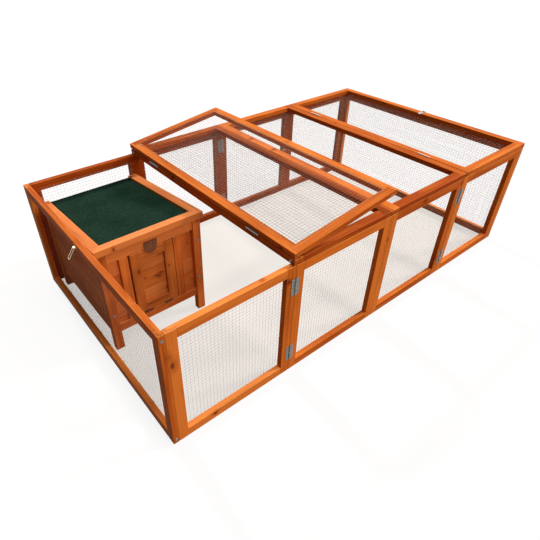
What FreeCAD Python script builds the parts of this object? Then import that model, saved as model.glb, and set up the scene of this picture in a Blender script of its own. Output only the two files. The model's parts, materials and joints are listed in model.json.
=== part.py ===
import FreeCAD, Part
import math
import os
import re

from FreeCAD import Placement, Rotation, Vector

# Wooden pet run: framed net panels round four bays, framed net tops with two hinged lids, and a small house
# Millimetres, +Z up; the origin is on the ground at the middle of the run
# +X runs along the run from the house end, +Y runs from the front side to the back side
doc = FreeCAD.newDocument("pet_run")
sheet = doc.addObject("Spreadsheet::Sheet", "sizes")

# Driving dimensions in millimetres, degrees where the name says angle, and plain counts
DRIVING = {
    "run_length": 1810,
    "run_width": 1000,
    "side_height": 460,
    "timber_width": 34,
    "timber_depth": 20,
    "tongue_length": 22,
    "seam_gap": 1,
    "lid_clearance": 0.5,
    "net_thickness": 1,
    "net_overlap": 11,
    "leaf_thickness": 1,
    "knuckle_radius": 2.2,
    "pin_radius": 1.1,
    "pin_clearance": 0.05,
    "knuckle_gap": 0.3,
    "screw_radius": 2.3,
    "screw_height": 0.9,
    "panel_leaf_length": 65,
    "panel_leaf_width": 16,
    "panel_screw_offset": 10,
    "panel_hinge_low": 90,
    "panel_hinge_high": 380,
    "lid_leaf_length": 58,
    "lid_leaf_width": 17,
    "lid_hinge_inset": 195,
    "lid_seam_half_gap": 1.2,
    "lid_open_angle": 172.5,
    "catch_length": 46,
    "catch_width": 16,
    "catch_thickness": 1.4,
    "catch_nose_radius": 3,
    "latch_plate_length": 40,
    "latch_plate_height": 14,
    "latch_plate_thickness": 1.2,
    "latch_drop": 9,
    "barrel_radius": 3,
    "barrel_length": 6.5,
    "barrel_reach": 8,
    "loop_wire_radius": 1.1,
    "loop_length": 41,
    "loop_width": 13,
    "loop_bend_radius": 2,
    "loop_rest_angle": 35,
    "bolt_head_radius": 4,
    "bolt_head_height": 2.2,
    "bolt_shank_radius": 2,
    "bolt_shank_length": 20,
    "bolt_inset": 19,
    "house_width": 390,
    "house_depth": 498,
    "house_height": 421,
    "house_end_gap": 16,
    "house_back_gap": 32,
    "leg_width": 32,
    "leg_depth": 25,
    "wall_rail_depth": 12,
    "wall_setback": 4,
    "door_proud": 0.3,
    "top_rail_height": 42,
    "bottom_rail_height": 36,
    "leg_clear_height": 75,
    "board_thickness": 9,
    "board_rows": 5,
    "board_gap": 1,
    "front_stile_width": 32,
    "doorway_offset": 104,
    "doorway_width": 173,
    "floor_thickness": 6,
    "door_gap": 2,
    "door_rail_width": 36,
    "door_frame_depth": 10,
    "door_board_depth": 8,
    "door_boards": 3,
    "tab_width": 50,
    "tab_height": 50,
    "tab_drop": 20,
    "tab_thickness": 3,
    "tab_corner_radius": 22,
    "door_leaf_length": 34,
    "door_leaf_width": 17,
    "door_axis_height": 1.3,
    "door_hinge_inset": 42,
    "roof_seat_gap": 0.4,
    "roof_slope_angle": 6,
    "roof_thickness": 24,
    "roof_rail_width": 35,
    "roof_side_overhang": 8,
    "roof_front_overhang": 12,
    "roof_board_drop": 11,
    "roof_board_thickness": 9,
    "felt_thickness": 2,
    "roof_leaf_length": 22,
    "roof_leaf_width": 17,
    "roof_screw_offset": 10,
    "house_bolt_low": 160,
    "house_bolt_high": 330,
}
for row, (name, number) in enumerate(DRIVING.items(), start=1):
    sheet.set(f"A{row}", name)
    sheet.set(f"B{row}", str(number))
    sheet.setAlias(f"B{row}", name)
doc.recompute()

HALF_TURN = 180.0
QUARTER_TURN = 90.0
BAYS = 4
X_AXIS = Vector(1, 0, 0)
Y_AXIS = Vector(0, 1, 0)
Z_AXIS = Vector(0, 0, 1)
KNUCKLES = 5
SCREW_PLACE_SHARES = (1 / 6, 1 / 2, 5 / 6)


class Sizes:
    """The sheet's values by name."""

    def __getattr__(self, name):
        return float(sheet.get(name))


s = Sizes()
nodes = []


def on_sheet(text):
    """An expression in which each size's name points at its cell."""
    words = "|".join(sorted(DRIVING, key=len, reverse=True))
    return re.sub(rf"\b({words})\b", r"sizes.\1", text)


def tie(piece, **expressions):
    """Binds a piece's properties to the sheet."""
    for side, text in expressions.items():
        piece.setExpression(side, on_sheet(text))
    return piece


def block(length, width, height, corner=(0, 0, 0)):
    """A sawn block along X, Y and Z with its lowest corner at the given place."""
    piece = tie(doc.addObject("Part::Box", "block"), Length=length, Width=width, Height=height)
    piece.Placement.Base = Vector(*corner)
    return piece


def rod(radius, length, start=(0, 0, 0), turn=Rotation()):
    """A round bar that runs along its own Z from the start."""
    piece = tie(doc.addObject("Part::Cylinder", "rod"), Radius=radius, Height=length)
    piece.Placement = Placement(Vector(*start), turn)
    return piece


def joined(*pieces):
    """Several shapes made into one solid."""
    piece = doc.addObject("Part::MultiFuse", "joined")
    piece.Shapes = list(pieces)
    piece.Refine = True
    return piece


def cut(base, *tools):
    """A shape with others taken out of it."""
    piece = doc.addObject("Part::Cut", "cut")
    piece.Base = base
    piece.Tool = tools[0] if len(tools) == 1 else joined(*tools)
    return piece


def group(label, pieces, place=Placement()):
    """A node: separate solids under one name, set in place together."""
    node = doc.addObject("Part::Compound", label)
    node.Label = label
    node.Links = list(pieces)
    node.Placement = place
    nodes.append(node)
    return node


def copies(label, placed):
    """A node of repeated hardware: each (master, placement) pair gives its solids once."""
    node = doc.addObject("Part::Feature", label)
    node.Label = label
    solids = []
    for master, place in placed:
        for solid in master.Shape.Solids:
            moved = solid.copy()
            moved.Placement = place.multiply(solid.Placement)
            solids.append(moved)
    node.Shape = Part.makeCompound(solids)
    nodes.append(node)
    return node


# Timber frames: two stiles the full height, two rails between them with tongues lapped behind the stiles
def timber_frame(width, height, depth):
    """The four members of a frame in its own XZ plane; each size is an expression and its number."""
    (width_text, width_mm), (height_text, height_mm), (depth_text, depth_mm) = width, height, depth
    tongue = f"({depth_text}) / 2"
    tongue_y = depth_mm / 2
    left_x = s.timber_width - s.tongue_length
    right_x = width_mm - s.timber_width
    top_z = height_mm - s.timber_width
    members = []
    for stile_x, pocket_x in ((0, left_x), (right_x, right_x)):
        stile = block("timber_width", depth_text, height_text, (stile_x, 0, 0))
        pockets = []
        for z in (0, top_z):
            pockets.append(block("tongue_length", tongue, "timber_width", (pocket_x, tongue_y, z)))
        members.append(cut(stile, *pockets))
    for z in (0, top_z):
        bar = block(f"{width_text} - 2 * timber_width", depth_text, "timber_width", (s.timber_width, 0, z))
        tongues = []
        for x in (left_x, right_x):
            tongues.append(block("tongue_length", tongue, "timber_width", (x, tongue_y, z)))
        members.append(joined(bar, *tongues))
    return members


def net(label, width, height, depth_mm, place):
    """Welded net laid on a frame's inner face, as one plain sheet."""
    edge = "2 * (timber_width - net_overlap)"
    low = s.timber_width - s.net_overlap
    laid = block(f"{width} - {edge}", "net_thickness", f"{height} - {edge}", (low, depth_mm, low))
    group(label, [laid], place)


def net_frame(name, width, height, depth, place):
    """A timber frame and its net, as two nodes set in place alike."""
    group(f"{name}_frame", timber_frame(width, height, depth), place)
    net(f"{name}_net", width[0], height[0], depth[1], place)


full_depth = ("timber_depth", s.timber_depth)
lid_depth = ("(timber_depth - lid_clearance)", s.timber_depth - s.lid_clearance)
half_length = s.run_length / 2
half_width = s.run_width / 2
total_height = s.side_height + s.timber_depth

# Side panels, four a side, between the two end panels
panel_pitch = (s.run_length - 2 * s.timber_depth) / BAYS
panel_width = ("((run_length - 2 * timber_depth) / 4 - seam_gap)", panel_pitch - s.seam_gap)
panel_height = ("side_height", s.side_height)
turned_back = Rotation(Z_AXIS, HALF_TURN)
for bay in range(BAYS):
    near_x = -half_length + s.timber_depth + bay * panel_pitch + s.seam_gap / 2
    far_x = near_x + panel_width[1]
    front = Placement(Vector(near_x, -half_width, 0), Rotation())
    back = Placement(Vector(far_x, half_width, 0), turned_back)
    for side, place in (("front", front), ("back", back)):
        net_frame(f"{side}_panel_{bay + 1}", panel_width, panel_height, full_depth, place)

# End panels, the full width of the run
end_width = ("run_width", s.run_width)
end_places = {
    "left": Placement(Vector(-half_length, half_width, 0), Rotation(Z_AXIS, -QUARTER_TURN)),
    "right": Placement(Vector(half_length, -half_width, 0), Rotation(Z_AXIS, QUARTER_TURN)),
}
for end, place in end_places.items():
    net_frame(f"{end}_end", end_width, panel_height, full_depth, place)

# Fixed tops over the two middle bays
bay_length = s.run_length / BAYS
laid_flat = Rotation(X_AXIS, -QUARTER_TURN)
top_width = (
    "(run_length / 4 - lid_seam_half_gap - seam_gap / 2)",
    bay_length - s.lid_seam_half_gap - s.seam_gap / 2,
)
top_lefts = {"top_2": -bay_length + s.lid_seam_half_gap, "top_3": s.seam_gap / 2}
for name, left in top_lefts.items():
    place = Placement(Vector(left, -half_width, total_height), laid_flat)
    net_frame(name, top_width, end_width, full_depth, place)

# Lids over the outer bays, built from their hinge axis outwards; the left one lies folded back over bay two
axis_rise = s.knuckle_radius + s.knuckle_gap
axis_z = total_height + axis_rise
lid_length = ("(run_length / 4 - lid_seam_half_gap)", bay_length - s.lid_seam_half_gap)
lid_start = Placement(Vector(s.lid_seam_half_gap, -half_width, -axis_rise), laid_flat)
lid_opening = Rotation(Y_AXIS, s.lid_open_angle)
lid_axes = {
    "left": Placement(Vector(-bay_length, 0, axis_z), turned_back),
    "right": Placement(Vector(bay_length, 0, axis_z), Rotation()),
}
lid_places = {
    "left": Placement(Vector(-bay_length, 0, axis_z), lid_opening.multiply(turned_back)),
    "right": lid_axes["right"],
}
for end, hung in lid_places.items():
    net_frame(f"{end}_lid", lid_length, end_width, lid_depth, hung.multiply(lid_start))


# Butt hinges: a leaf lies on the wood beside the axis and carries its share of the five knuckles
def hinge_leaf(length, width, axis_height, own_knuckles):
    """One leaf along +X with the axis on Z; sizes are names on the sheet."""
    length_mm, axis_mm = getattr(s, length), getattr(s, axis_height)
    face_y = axis_mm - s.leaf_thickness
    reach = "knuckle_radius + knuckle_gap"
    reach_mm = s.knuckle_radius + s.knuckle_gap
    pitch = length_mm / KNUCKLES
    parts = [block(f"{width} - {reach}", "leaf_thickness", length, (reach_mm, face_y, 0))]
    for knuckle in own_knuckles:
        base = knuckle * pitch + s.knuckle_gap / 2
        tall = f"{length} / {KNUCKLES} - knuckle_gap"
        parts.append(block(f"{reach}", "leaf_thickness", tall, (0, face_y, base)))
        parts.append(rod("knuckle_radius", tall, (0, 0, base)))
    return cut(joined(*parts), rod("pin_radius + pin_clearance", length))


def leaf_screws(length, offset, axis_height):
    """The heads of the screws that hold a leaf."""
    length_mm, offset_mm, axis_mm = getattr(s, length), getattr(s, offset), getattr(s, axis_height)
    outward = Rotation(X_AXIS, QUARTER_TURN)
    top = axis_mm - s.leaf_thickness
    return [rod("screw_radius", "screw_height", (offset_mm, top, share * length_mm), outward)
            for share in SCREW_PLACE_SHARES]


OUTER_KNUCKLES = (0, 2, 4)
INNER_KNUCKLES = (1, 3)
about_face = Rotation(Y_AXIS, HALF_TURN)


def leaf_pair(length, width, axis_height, offset=None):
    """Fixed leaf, moving leaf and pin about one axis, and the screws of each leaf."""
    fixed = [hinge_leaf(length, width, axis_height, OUTER_KNUCKLES)]
    moving = [hinge_leaf(length, width, axis_height, INNER_KNUCKLES)]
    if offset:
        fixed += leaf_screws(length, offset, axis_height)
        moving += leaf_screws(length, offset, axis_height)
    return fixed, moving, rod("pin_radius", length)


def other_way(place, length_mm):
    """The place of the leaf on the axis's other side."""
    return place.multiply(Placement(Z_AXIS * length_mm, about_face))


panel_fixed, panel_moving, panel_pin = leaf_pair("panel_leaf_length", "panel_leaf_width", "knuckle_radius",
                                                 "panel_screw_offset")
lid_fixed, lid_moving, lid_pin = leaf_pair("lid_leaf_length", "lid_leaf_width", "lid_seam_half_gap")
roof_fixed, roof_moving, roof_pin = leaf_pair("roof_leaf_length", "roof_leaf_width", "knuckle_radius",
                                              "roof_screw_offset")
door_fixed, door_moving, door_pin = leaf_pair("door_leaf_length", "door_leaf_width", "door_axis_height")
doc.recompute()

# Panel hinges: outside at the first and third seams, inside at the middle one, so a side folds like a screen
for side, out_y, turn in (("front", -1, Rotation()), ("back", 1, turned_back)):
    placed = []
    for seam in range(1, BAYS):
        seam_x = -half_length + s.timber_depth + seam * panel_pitch
        outside = seam % 2 == 1
        face = half_width if outside else half_width - s.timber_depth
        axis_y = out_y * (face + s.knuckle_radius if outside else face - s.knuckle_radius)
        facing = turn if outside else turn.multiply(turned_back)
        for middle in (s.panel_hinge_low, s.panel_hinge_high):
            place = Placement(Vector(seam_x, axis_y, middle - s.panel_leaf_length / 2), facing)
            placed += [(piece, place) for piece in panel_fixed]
            placed += [(piece, other_way(place, s.panel_leaf_length)) for piece in panel_moving]
            placed.append((panel_pin, place))
    copies(f"{side}_panel_hinges", placed)

# Lid hinges: folded shut in the seam, leaves on the side faces of the two rails, knuckles above the seam
leaf_on_top = Rotation(-Z_AXIS, -X_AXIS, Y_AXIS, "ZXY")
leaf_on_lid = Rotation(-Z_AXIS, X_AXIS, -Y_AXIS, "ZXY")
for end, hung in lid_places.items():
    axis = lid_axes[end]
    fixed, moving = [], []
    for middle in (-half_width + s.lid_hinge_inset, half_width - s.lid_hinge_inset):
        start = axis.multiply(Placement(Y_AXIS * (middle - s.lid_leaf_length / 2), leaf_on_top))
        finish = hung.multiply(Placement(Y_AXIS * (middle + s.lid_leaf_length / 2), leaf_on_lid))
        moving += [(piece, finish) for piece in lid_moving]
        fixed += [(piece, start) for piece in lid_fixed + [lid_pin]]
    copies(f"{end}_lid_hinge_fixed", fixed)
    copies(f"{end}_lid_hinge_moving", moving)

# Latches: a plate and barrel on each end panel, a wire loop in the barrel, and a curled catch on each lid
barrel_z = s.side_height - s.latch_drop
across = Rotation(X_AXIS, -QUARTER_TURN)
plate = block("latch_plate_thickness", "latch_plate_length", "latch_plate_height",
              (0, -s.latch_plate_length / 2, -s.latch_plate_height / 2))
lug = block("barrel_reach", "barrel_length", "2 * barrel_radius",
            (0, -s.barrel_length / 2, -s.barrel_radius))
barrel = rod("barrel_radius", "barrel_length", (s.barrel_reach, -s.barrel_length / 2, 0), across)
barrel_bore = rod("loop_wire_radius + pin_clearance", "barrel_length",
                  (s.barrel_reach, -s.barrel_length / 2, 0), across)
latch_base = cut(joined(plate, lug, barrel), barrel_bore)
screw_out = Rotation(Y_AXIS, QUARTER_TURN)
plate_screw_y = (s.latch_plate_length + s.barrel_length) / 4
plate_screws = [rod("screw_radius", "screw_height", (s.latch_plate_thickness, y, 0), screw_out)
                for y in (-plate_screw_y, plate_screw_y)]


def wire_loop():
    """A closed loop of round wire that hangs from the Y axis, with rounded corners."""
    half = s.loop_width / 2 - s.loop_wire_radius
    foot = -(s.loop_length - 2 * s.loop_wire_radius)
    bend = s.loop_bend_radius
    on_bend = bend * (1 - math.cos(math.radians(QUARTER_TURN / 2)))

    def point(y, z):
        return Vector(0, y, z)

    def corner(first, middle, last):
        return Part.Arc(point(*first), point(*middle), point(*last)).toShape()

    edges = [Part.makeLine(point(-half + bend, 0), point(half - bend, 0))]
    edges.append(corner((half - bend, 0), (half - on_bend, -on_bend), (half, -bend)))
    edges.append(Part.makeLine(point(half, -bend), point(half, foot + bend)))
    edges.append(corner((half, foot + bend), (half - on_bend, foot + on_bend), (half - bend, foot)))
    edges.append(Part.makeLine(point(half - bend, foot), point(-half + bend, foot)))
    edges.append(corner((-half + bend, foot), (-half + on_bend, foot + on_bend), (-half, foot + bend)))
    edges.append(Part.makeLine(point(-half, foot + bend), point(-half, -bend)))
    edges.append(corner((-half, -bend), (-half + on_bend, -on_bend), (-half + bend, 0)))
    section = Part.Wire(Part.makeCircle(s.loop_wire_radius, point(-half + bend, 0), Y_AXIS))
    return Part.Wire(edges).makePipeShell([section], True, False)


wire = doc.addObject("Part::Feature", "wire_loop")
wire.Shape = wire_loop()
catch_end_x = s.lid_seam_half_gap + lid_length[1]
catch_round_x = catch_end_x - s.catch_length + s.catch_width / 2
nose_start = (catch_end_x - s.catch_nose_radius, -s.catch_width / 2,
              -axis_rise + s.catch_thickness / 2 + s.catch_nose_radius)
catch_base = block("catch_length - catch_width / 2 - catch_nose_radius", "catch_width", "catch_thickness",
                   (catch_round_x, -s.catch_width / 2, -axis_rise))
catch_round = rod("catch_width / 2", "catch_thickness", (catch_round_x, 0, -axis_rise))
nose = rod("catch_nose_radius", "catch_width", nose_start, across)
catch = joined(catch_base, catch_round, nose)
doc.recompute()
for end, hung in lid_places.items():
    out = -1 if end == "left" else 1
    outward = turned_back if end == "left" else Rotation()
    seat = Placement(Vector(out * half_length, 0, barrel_z), outward)
    copies(f"{end}_latch_base", [(piece, seat) for piece in [latch_base] + plate_screws])
    swung = Rotation(Y_AXIS, -s.loop_rest_angle)
    hanging = seat.multiply(Placement(X_AXIS * s.barrel_reach, swung))
    copies(f"{end}_latch_loop", [(wire, hanging)])
    copies(f"{end}_lid_catch", [(catch, hung)])

# Bolts: one master, its head on the face and its shank in the wood behind it along +X
bolt = joined(rod("bolt_head_radius", "bolt_head_height", (-s.bolt_head_height, 0, 0), screw_out),
              rod("bolt_shank_radius", "bolt_shank_length", (0, 0, 0), screw_out))
doc.recompute()
inward_y = Rotation(Z_AXIS, QUARTER_TURN)
outward_y = Rotation(Z_AXIS, -QUARTER_TURN)
corner_bolts = []
for end_x in (-half_length + s.timber_depth / 2, half_length - s.timber_depth / 2):
    for bolt_z in (s.bolt_inset, s.side_height - s.bolt_inset):
        corner_bolts.append((bolt, Placement(Vector(end_x, -half_width, bolt_z), inward_y)))
        corner_bolts.append((bolt, Placement(Vector(end_x, half_width, bolt_z), outward_y)))
top_bolt_z = total_height - s.timber_depth / 2
for bolt_y in (-half_width + s.bolt_inset, half_width - s.bolt_inset):
    corner_bolts.append((bolt, Placement(Vector(top_lefts["top_2"], bolt_y, top_bolt_z), Rotation())))
copies("frame_bolts", corner_bolts)

# House: stands on its own four legs in the corner of the first bay
house_x = -half_length + s.timber_depth + s.house_end_gap
house_y = half_width - s.timber_depth - s.house_back_gap - s.house_depth
house = Placement(Vector(house_x, house_y, 0), Rotation())
right_leg_x = s.house_width - s.leg_width
back_leg_y = s.house_depth - s.leg_depth
slope = "tan(roof_slope_angle * 1deg)"
slope_share = math.tan(math.radians(s.roof_slope_angle))


def sloped_block(length, width, high, low, corner):
    """A block whose top falls from the height at its front to the height at its back."""
    piece = doc.addObject("Part::Wedge", "sloped_block")
    tie(piece, Xmin="0", Ymin="0", Zmin="0", X2min="0", Z2min="0", Xmax=length, Ymax=width, Zmax=high,
        X2max=length, Z2max=low)
    piece.Placement.Base = Vector(*corner)
    return piece


back_height = f"(house_height - house_depth * {slope})"
back_height_mm = s.house_height - s.house_depth * slope_share
legs = []
for x in (0, right_leg_x):
    legs.append(sloped_block("leg_width", "leg_depth", "house_height",
                             f"house_height - leg_depth * {slope}", (x, 0, 0)))
    legs.append(sloped_block("leg_width", "leg_depth", f"{back_height} + leg_depth * {slope}", back_height,
                             (x, back_leg_y, 0)))
group("house_legs", legs, house)

rail_low_z = s.leg_clear_height
between_legs = "house_width - 2 * leg_width"
between_ends = "house_depth - 2 * leg_depth"
rail_front_y = s.wall_setback
rail_back_y = s.house_depth - s.wall_rail_depth
side_wall_x = s.wall_setback
side_rail_x = side_wall_x + s.board_thickness
side_rail_far_x = s.house_width - side_rail_x - s.wall_rail_depth
front_rail_drop = (s.wall_setback + s.wall_rail_depth) * slope_share
rail_high_z = s.house_height - front_rail_drop - s.top_rail_height
back_rail_z = back_height_mm - s.top_rail_height
rails = []
for y in (rail_front_y, rail_back_y):
    rails.append(block(between_legs, "wall_rail_depth", "bottom_rail_height", (s.leg_width, y, rail_low_z)))
for y, z in ((rail_front_y, rail_high_z), (rail_back_y, back_rail_z)):
    rails.append(block(between_legs, "wall_rail_depth", "top_rail_height", (s.leg_width, y, z)))
for x in (side_rail_x, side_rail_far_x):
    rails.append(block("wall_rail_depth", between_ends, "bottom_rail_height", (x, s.leg_depth, rail_low_z)))
    rails.append(block("wall_rail_depth", between_ends, "top_rail_height", (x, s.leg_depth, back_rail_z)))
stile_low_z = rail_low_z + s.bottom_rail_height
stile_height = "(house_height - (wall_setback + wall_rail_depth) * tan(roof_slope_angle * 1deg)"
stile_height += " - leg_clear_height - bottom_rail_height - top_rail_height)"
doorway_end = s.doorway_offset + s.doorway_width
for x in (s.doorway_offset - s.front_stile_width, doorway_end):
    rails.append(block("front_stile_width", "wall_rail_depth", stile_height,
                       (x, rail_front_y, stile_low_z)))
group("house_rails", rails, house)

# Wall boards in level rows: behind the front rails, in front of the back ones, and outside the side rails
front_board_y = rail_front_y + s.wall_rail_depth
back_board_y = rail_back_y - s.board_thickness
board_zone = f"({back_height} - leg_clear_height) / board_rows"
board_pitch = (back_height_mm - s.leg_clear_height) / s.board_rows
board_height = f"{board_zone} - board_gap"
front_top = f"({board_height} + (house_depth - wall_setback - wall_rail_depth - board_thickness) * {slope})"
side_top_front = f"({board_height} + (house_depth - leg_depth) * {slope})"
side_top_back = f"({board_height} + leg_depth * {slope})"
front_spans = [("doorway_offset - leg_width", s.leg_width),
               ("house_width - leg_width - doorway_offset - doorway_width", doorway_end)]
side_xs = (side_wall_x, s.house_width - side_wall_x - s.board_thickness)
boards = []
for row in range(int(s.board_rows)):
    z = s.leg_clear_height + row * board_pitch + s.board_gap / 2
    top_row = row == int(s.board_rows) - 1
    front_height = front_top if top_row else board_height
    for span, x in front_spans:
        boards.append(block(span, "board_thickness", front_height, (x, front_board_y, z)))
    boards.append(block(between_legs, "board_thickness", board_height, (s.leg_width, back_board_y, z)))
    for x in side_xs:
        if top_row:
            boards.append(sloped_block("board_thickness", between_ends, side_top_front, side_top_back,
                                       (x, s.leg_depth, z)))
        else:
            boards.append(block("board_thickness", between_ends, board_height, (x, s.leg_depth, z)))
group("house_wall_boards", boards, house)
floor = block("house_width - 2 * wall_setback - 2 * board_thickness", between_ends, "floor_thickness",
              (side_rail_x, s.leg_depth, stile_low_z))
group("house_floor", [floor], house)

# Drop-down door: a frame with boards behind, on two hinges let in under its bottom edge
door_low_z = stile_low_z + 2 * s.door_axis_height
door_front_y = s.wall_setback - s.door_proud
door_x = s.doorway_offset + s.door_gap
door_width = "(doorway_width - 2 * door_gap)"
door_height = f"({stile_height} - 2 * door_axis_height - door_gap)"
door_width_mm = s.doorway_width - 2 * s.door_gap
door_high_z = rail_high_z - s.door_gap
door_members = []
for x in (door_x, door_x + door_width_mm - s.door_rail_width):
    door_members.append(block("door_rail_width", "door_frame_depth", door_height,
                              (x, door_front_y, door_low_z)))
for z in (door_low_z, door_high_z - s.door_rail_width):
    door_members.append(block(f"{door_width} - 2 * door_rail_width", "door_frame_depth", "door_rail_width",
                              (door_x + s.door_rail_width, door_front_y, z)))
group("door_frame", door_members, house)
door_board_pitch = (door_high_z - door_low_z) / s.door_boards
door_board_y = door_front_y + s.door_frame_depth
door_rows = [block(door_width, "door_board_depth", f"{door_height} / door_boards - board_gap",
                   (door_x, door_board_y, door_low_z + row * door_board_pitch + s.board_gap / 2))
             for row in range(int(s.door_boards))]
group("door_boards", door_rows, house)

# Door tab: a plate with two rounded lower corners that overlaps the rail above the door
tab_x = door_x + (door_width_mm - s.tab_width) / 2
tab_z = door_high_z - s.tab_drop
tab_front_y = door_front_y - s.tab_thickness
tab_round_z = tab_z + s.tab_corner_radius
tab_turn = Rotation(X_AXIS, -QUARTER_TURN)
tab_upper = block("tab_width", "tab_thickness", "tab_height - tab_corner_radius",
                  (tab_x, tab_front_y, tab_round_z))
tab_lower = block("tab_width - 2 * tab_corner_radius", "tab_thickness", "tab_corner_radius",
                  (tab_x + s.tab_corner_radius, tab_front_y, tab_z))
tab_rounds = [rod("tab_corner_radius", "tab_thickness", (x, tab_front_y, tab_round_z), tab_turn)
              for x in (tab_x + s.tab_corner_radius, tab_x + s.tab_width - s.tab_corner_radius)]
group("door_tab", [joined(tab_upper, tab_lower, *tab_rounds)], house)

# Door hinges: folded shut between the rail's top and the door's bottom, knuckles showing in the gap
door_axis_y = s.wall_setback - s.knuckle_radius - s.knuckle_gap
door_axis_z = stile_low_z + s.door_axis_height
fixed_turn = Rotation(Y_AXIS, -Z_AXIS, -X_AXIS, "ZXY")
moving_turn = Rotation(Y_AXIS, Z_AXIS, X_AXIS, "ZXY")
fixed, moving = [], []
for middle in (door_x + s.door_hinge_inset, door_x + door_width_mm - s.door_hinge_inset):
    start_x = middle - s.door_leaf_length / 2
    finish_x = middle + s.door_leaf_length / 2
    start = house.multiply(Placement(Vector(start_x, door_axis_y, door_axis_z), moving_turn))
    finish = house.multiply(Placement(Vector(finish_x, door_axis_y, door_axis_z), fixed_turn))
    moving += [(piece, start) for piece in door_moving]
    fixed += [(piece, finish) for piece in door_fixed]
    fixed.append((door_pin, start))
copies("door_hinge_fixed", fixed)
copies("door_hinge_moving", moving)

# Roof: rails on the front and the two sides of a felted board, sloping down to hinges at the back
roof_length = "(house_width + 2 * roof_side_overhang)"
roof_depth = "((house_depth + roof_front_overhang) / cos(roof_slope_angle * 1deg))"
roof_length_mm = s.house_width + 2 * s.roof_side_overhang
roof_depth_mm = (s.house_depth + s.roof_front_overhang) / math.cos(math.radians(s.roof_slope_angle))
roof_tilt = Rotation(X_AXIS, -s.roof_slope_angle)
roof_axis = Vector(0, s.house_depth + s.knuckle_radius, back_height_mm)
roof = house.multiply(Placement(roof_axis, roof_tilt))
roof_back = -s.knuckle_radius
roof_front = roof_back - roof_depth_mm
roof_left = -s.roof_side_overhang
roof_right = roof_left + roof_length_mm

front_rail = doc.addObject("Part::Wedge", "front_rail")
tie(front_rail, Xmin="0", Ymin="0", Zmin="0", X2min="roof_rail_width", Z2min="0", Xmax=roof_length,
    Ymax="roof_rail_width", Zmax="roof_thickness", X2max=f"{roof_length} - roof_rail_width",
    Z2max="roof_thickness")
front_rail.Placement.Base = Vector(roof_left, roof_front, s.roof_seat_gap)


def side_rail(low_cut, high_cut, corner):
    """A rail along Y with its front end cut at 45 degrees; the cuts set back its left and right edges."""
    rail = doc.addObject("Part::Wedge", "side_rail")
    tie(rail, Xmin="0", Ymin="0", Zmin=low_cut, X2min="0", Z2min=high_cut, Xmax="roof_thickness",
        Ymax="roof_rail_width", Zmax=roof_depth, X2max="roof_thickness", Z2max=roof_depth)
    rail.Placement = Placement(Vector(*corner), side_turn)
    return rail


side_turn = Rotation(Z_AXIS, X_AXIS, Y_AXIS, "ZXY")
right_rail_x = roof_right - s.roof_rail_width
roof_rails = [
    front_rail,
    side_rail("0", "roof_rail_width", (roof_left, roof_front, s.roof_seat_gap)),
    side_rail("roof_rail_width", "0", (right_rail_x, roof_front, s.roof_seat_gap)),
]
group("roof_frame", roof_rails, roof)
inner_x = roof_left + s.roof_rail_width
inner_y = roof_front + s.roof_rail_width
inner_length = f"{roof_length} - 2 * roof_rail_width"
inner_depth = f"{roof_depth} - roof_rail_width"
felt_z = s.roof_seat_gap + s.roof_thickness - s.roof_board_drop
board_z = felt_z - s.roof_board_thickness
roof_board = block(inner_length, inner_depth, "roof_board_thickness", (inner_x, inner_y, board_z))
roof_felt = block(inner_length, inner_depth, "felt_thickness", (inner_x, inner_y, felt_z))
group("roof_board", [roof_board], roof)
group("roof_felt", [roof_felt], roof)

# Roof hinges: leaves on the back ends of the roof's side rails and on the back legs below them
roof_turn = Rotation(Z_AXIS, -Y_AXIS, X_AXIS, "ZXY")
hinge_span = s.roof_rail_width - s.roof_side_overhang
level_axis = house.multiply(Placement(roof_axis, Rotation()))
fixed, moving = [], []
for middle in (hinge_span / 2, s.house_width - hinge_span / 2):
    start = Placement(X_AXIS * (middle - s.roof_leaf_length / 2), roof_turn)
    moving += [(piece, roof.multiply(start)) for piece in roof_moving]
    fixed += [(piece, level_axis.multiply(other_way(start, s.roof_leaf_length))) for piece in roof_fixed]
    fixed.append((roof_pin, level_axis.multiply(start)))
copies("roof_hinge_fixed", fixed)
copies("roof_hinge_moving", moving)

# House bolts: two in the face of each leg, front and back
house_bolts = []
for leg_x in (s.leg_width / 2, s.house_width - s.leg_width / 2):
    for bolt_z in (s.house_bolt_low, s.house_bolt_high):
        front = house.multiply(Placement(Vector(leg_x, 0, bolt_z), inward_y))
        back = house.multiply(Placement(Vector(leg_x, s.house_depth, bolt_z), outward_y))
        house_bolts += [(bolt, front), (bolt, back)]
copies("house_bolts", house_bolts)

# Every object has to be sound before anything is written
doc.recompute()
for thing in doc.Objects:
    if "Invalid" in thing.State or "Error" in thing.State:
        raise RuntimeError(f"{thing.Label} failed: {thing.State}")
for node in nodes:
    if node.Shape.isNull() or not node.Shape.isValid():
        raise RuntimeError(f"{node.Label} has no sound shape")
os.makedirs("parts", exist_ok=True)
for node in nodes:
    node.Shape.exportStep(f"parts/{node.Label}.step")
print(len(nodes), "nodes written")
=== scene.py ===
import json
import math
import random
from itertools import product

import bmesh
import bpy
from mathutils import Matrix, Vector


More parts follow.
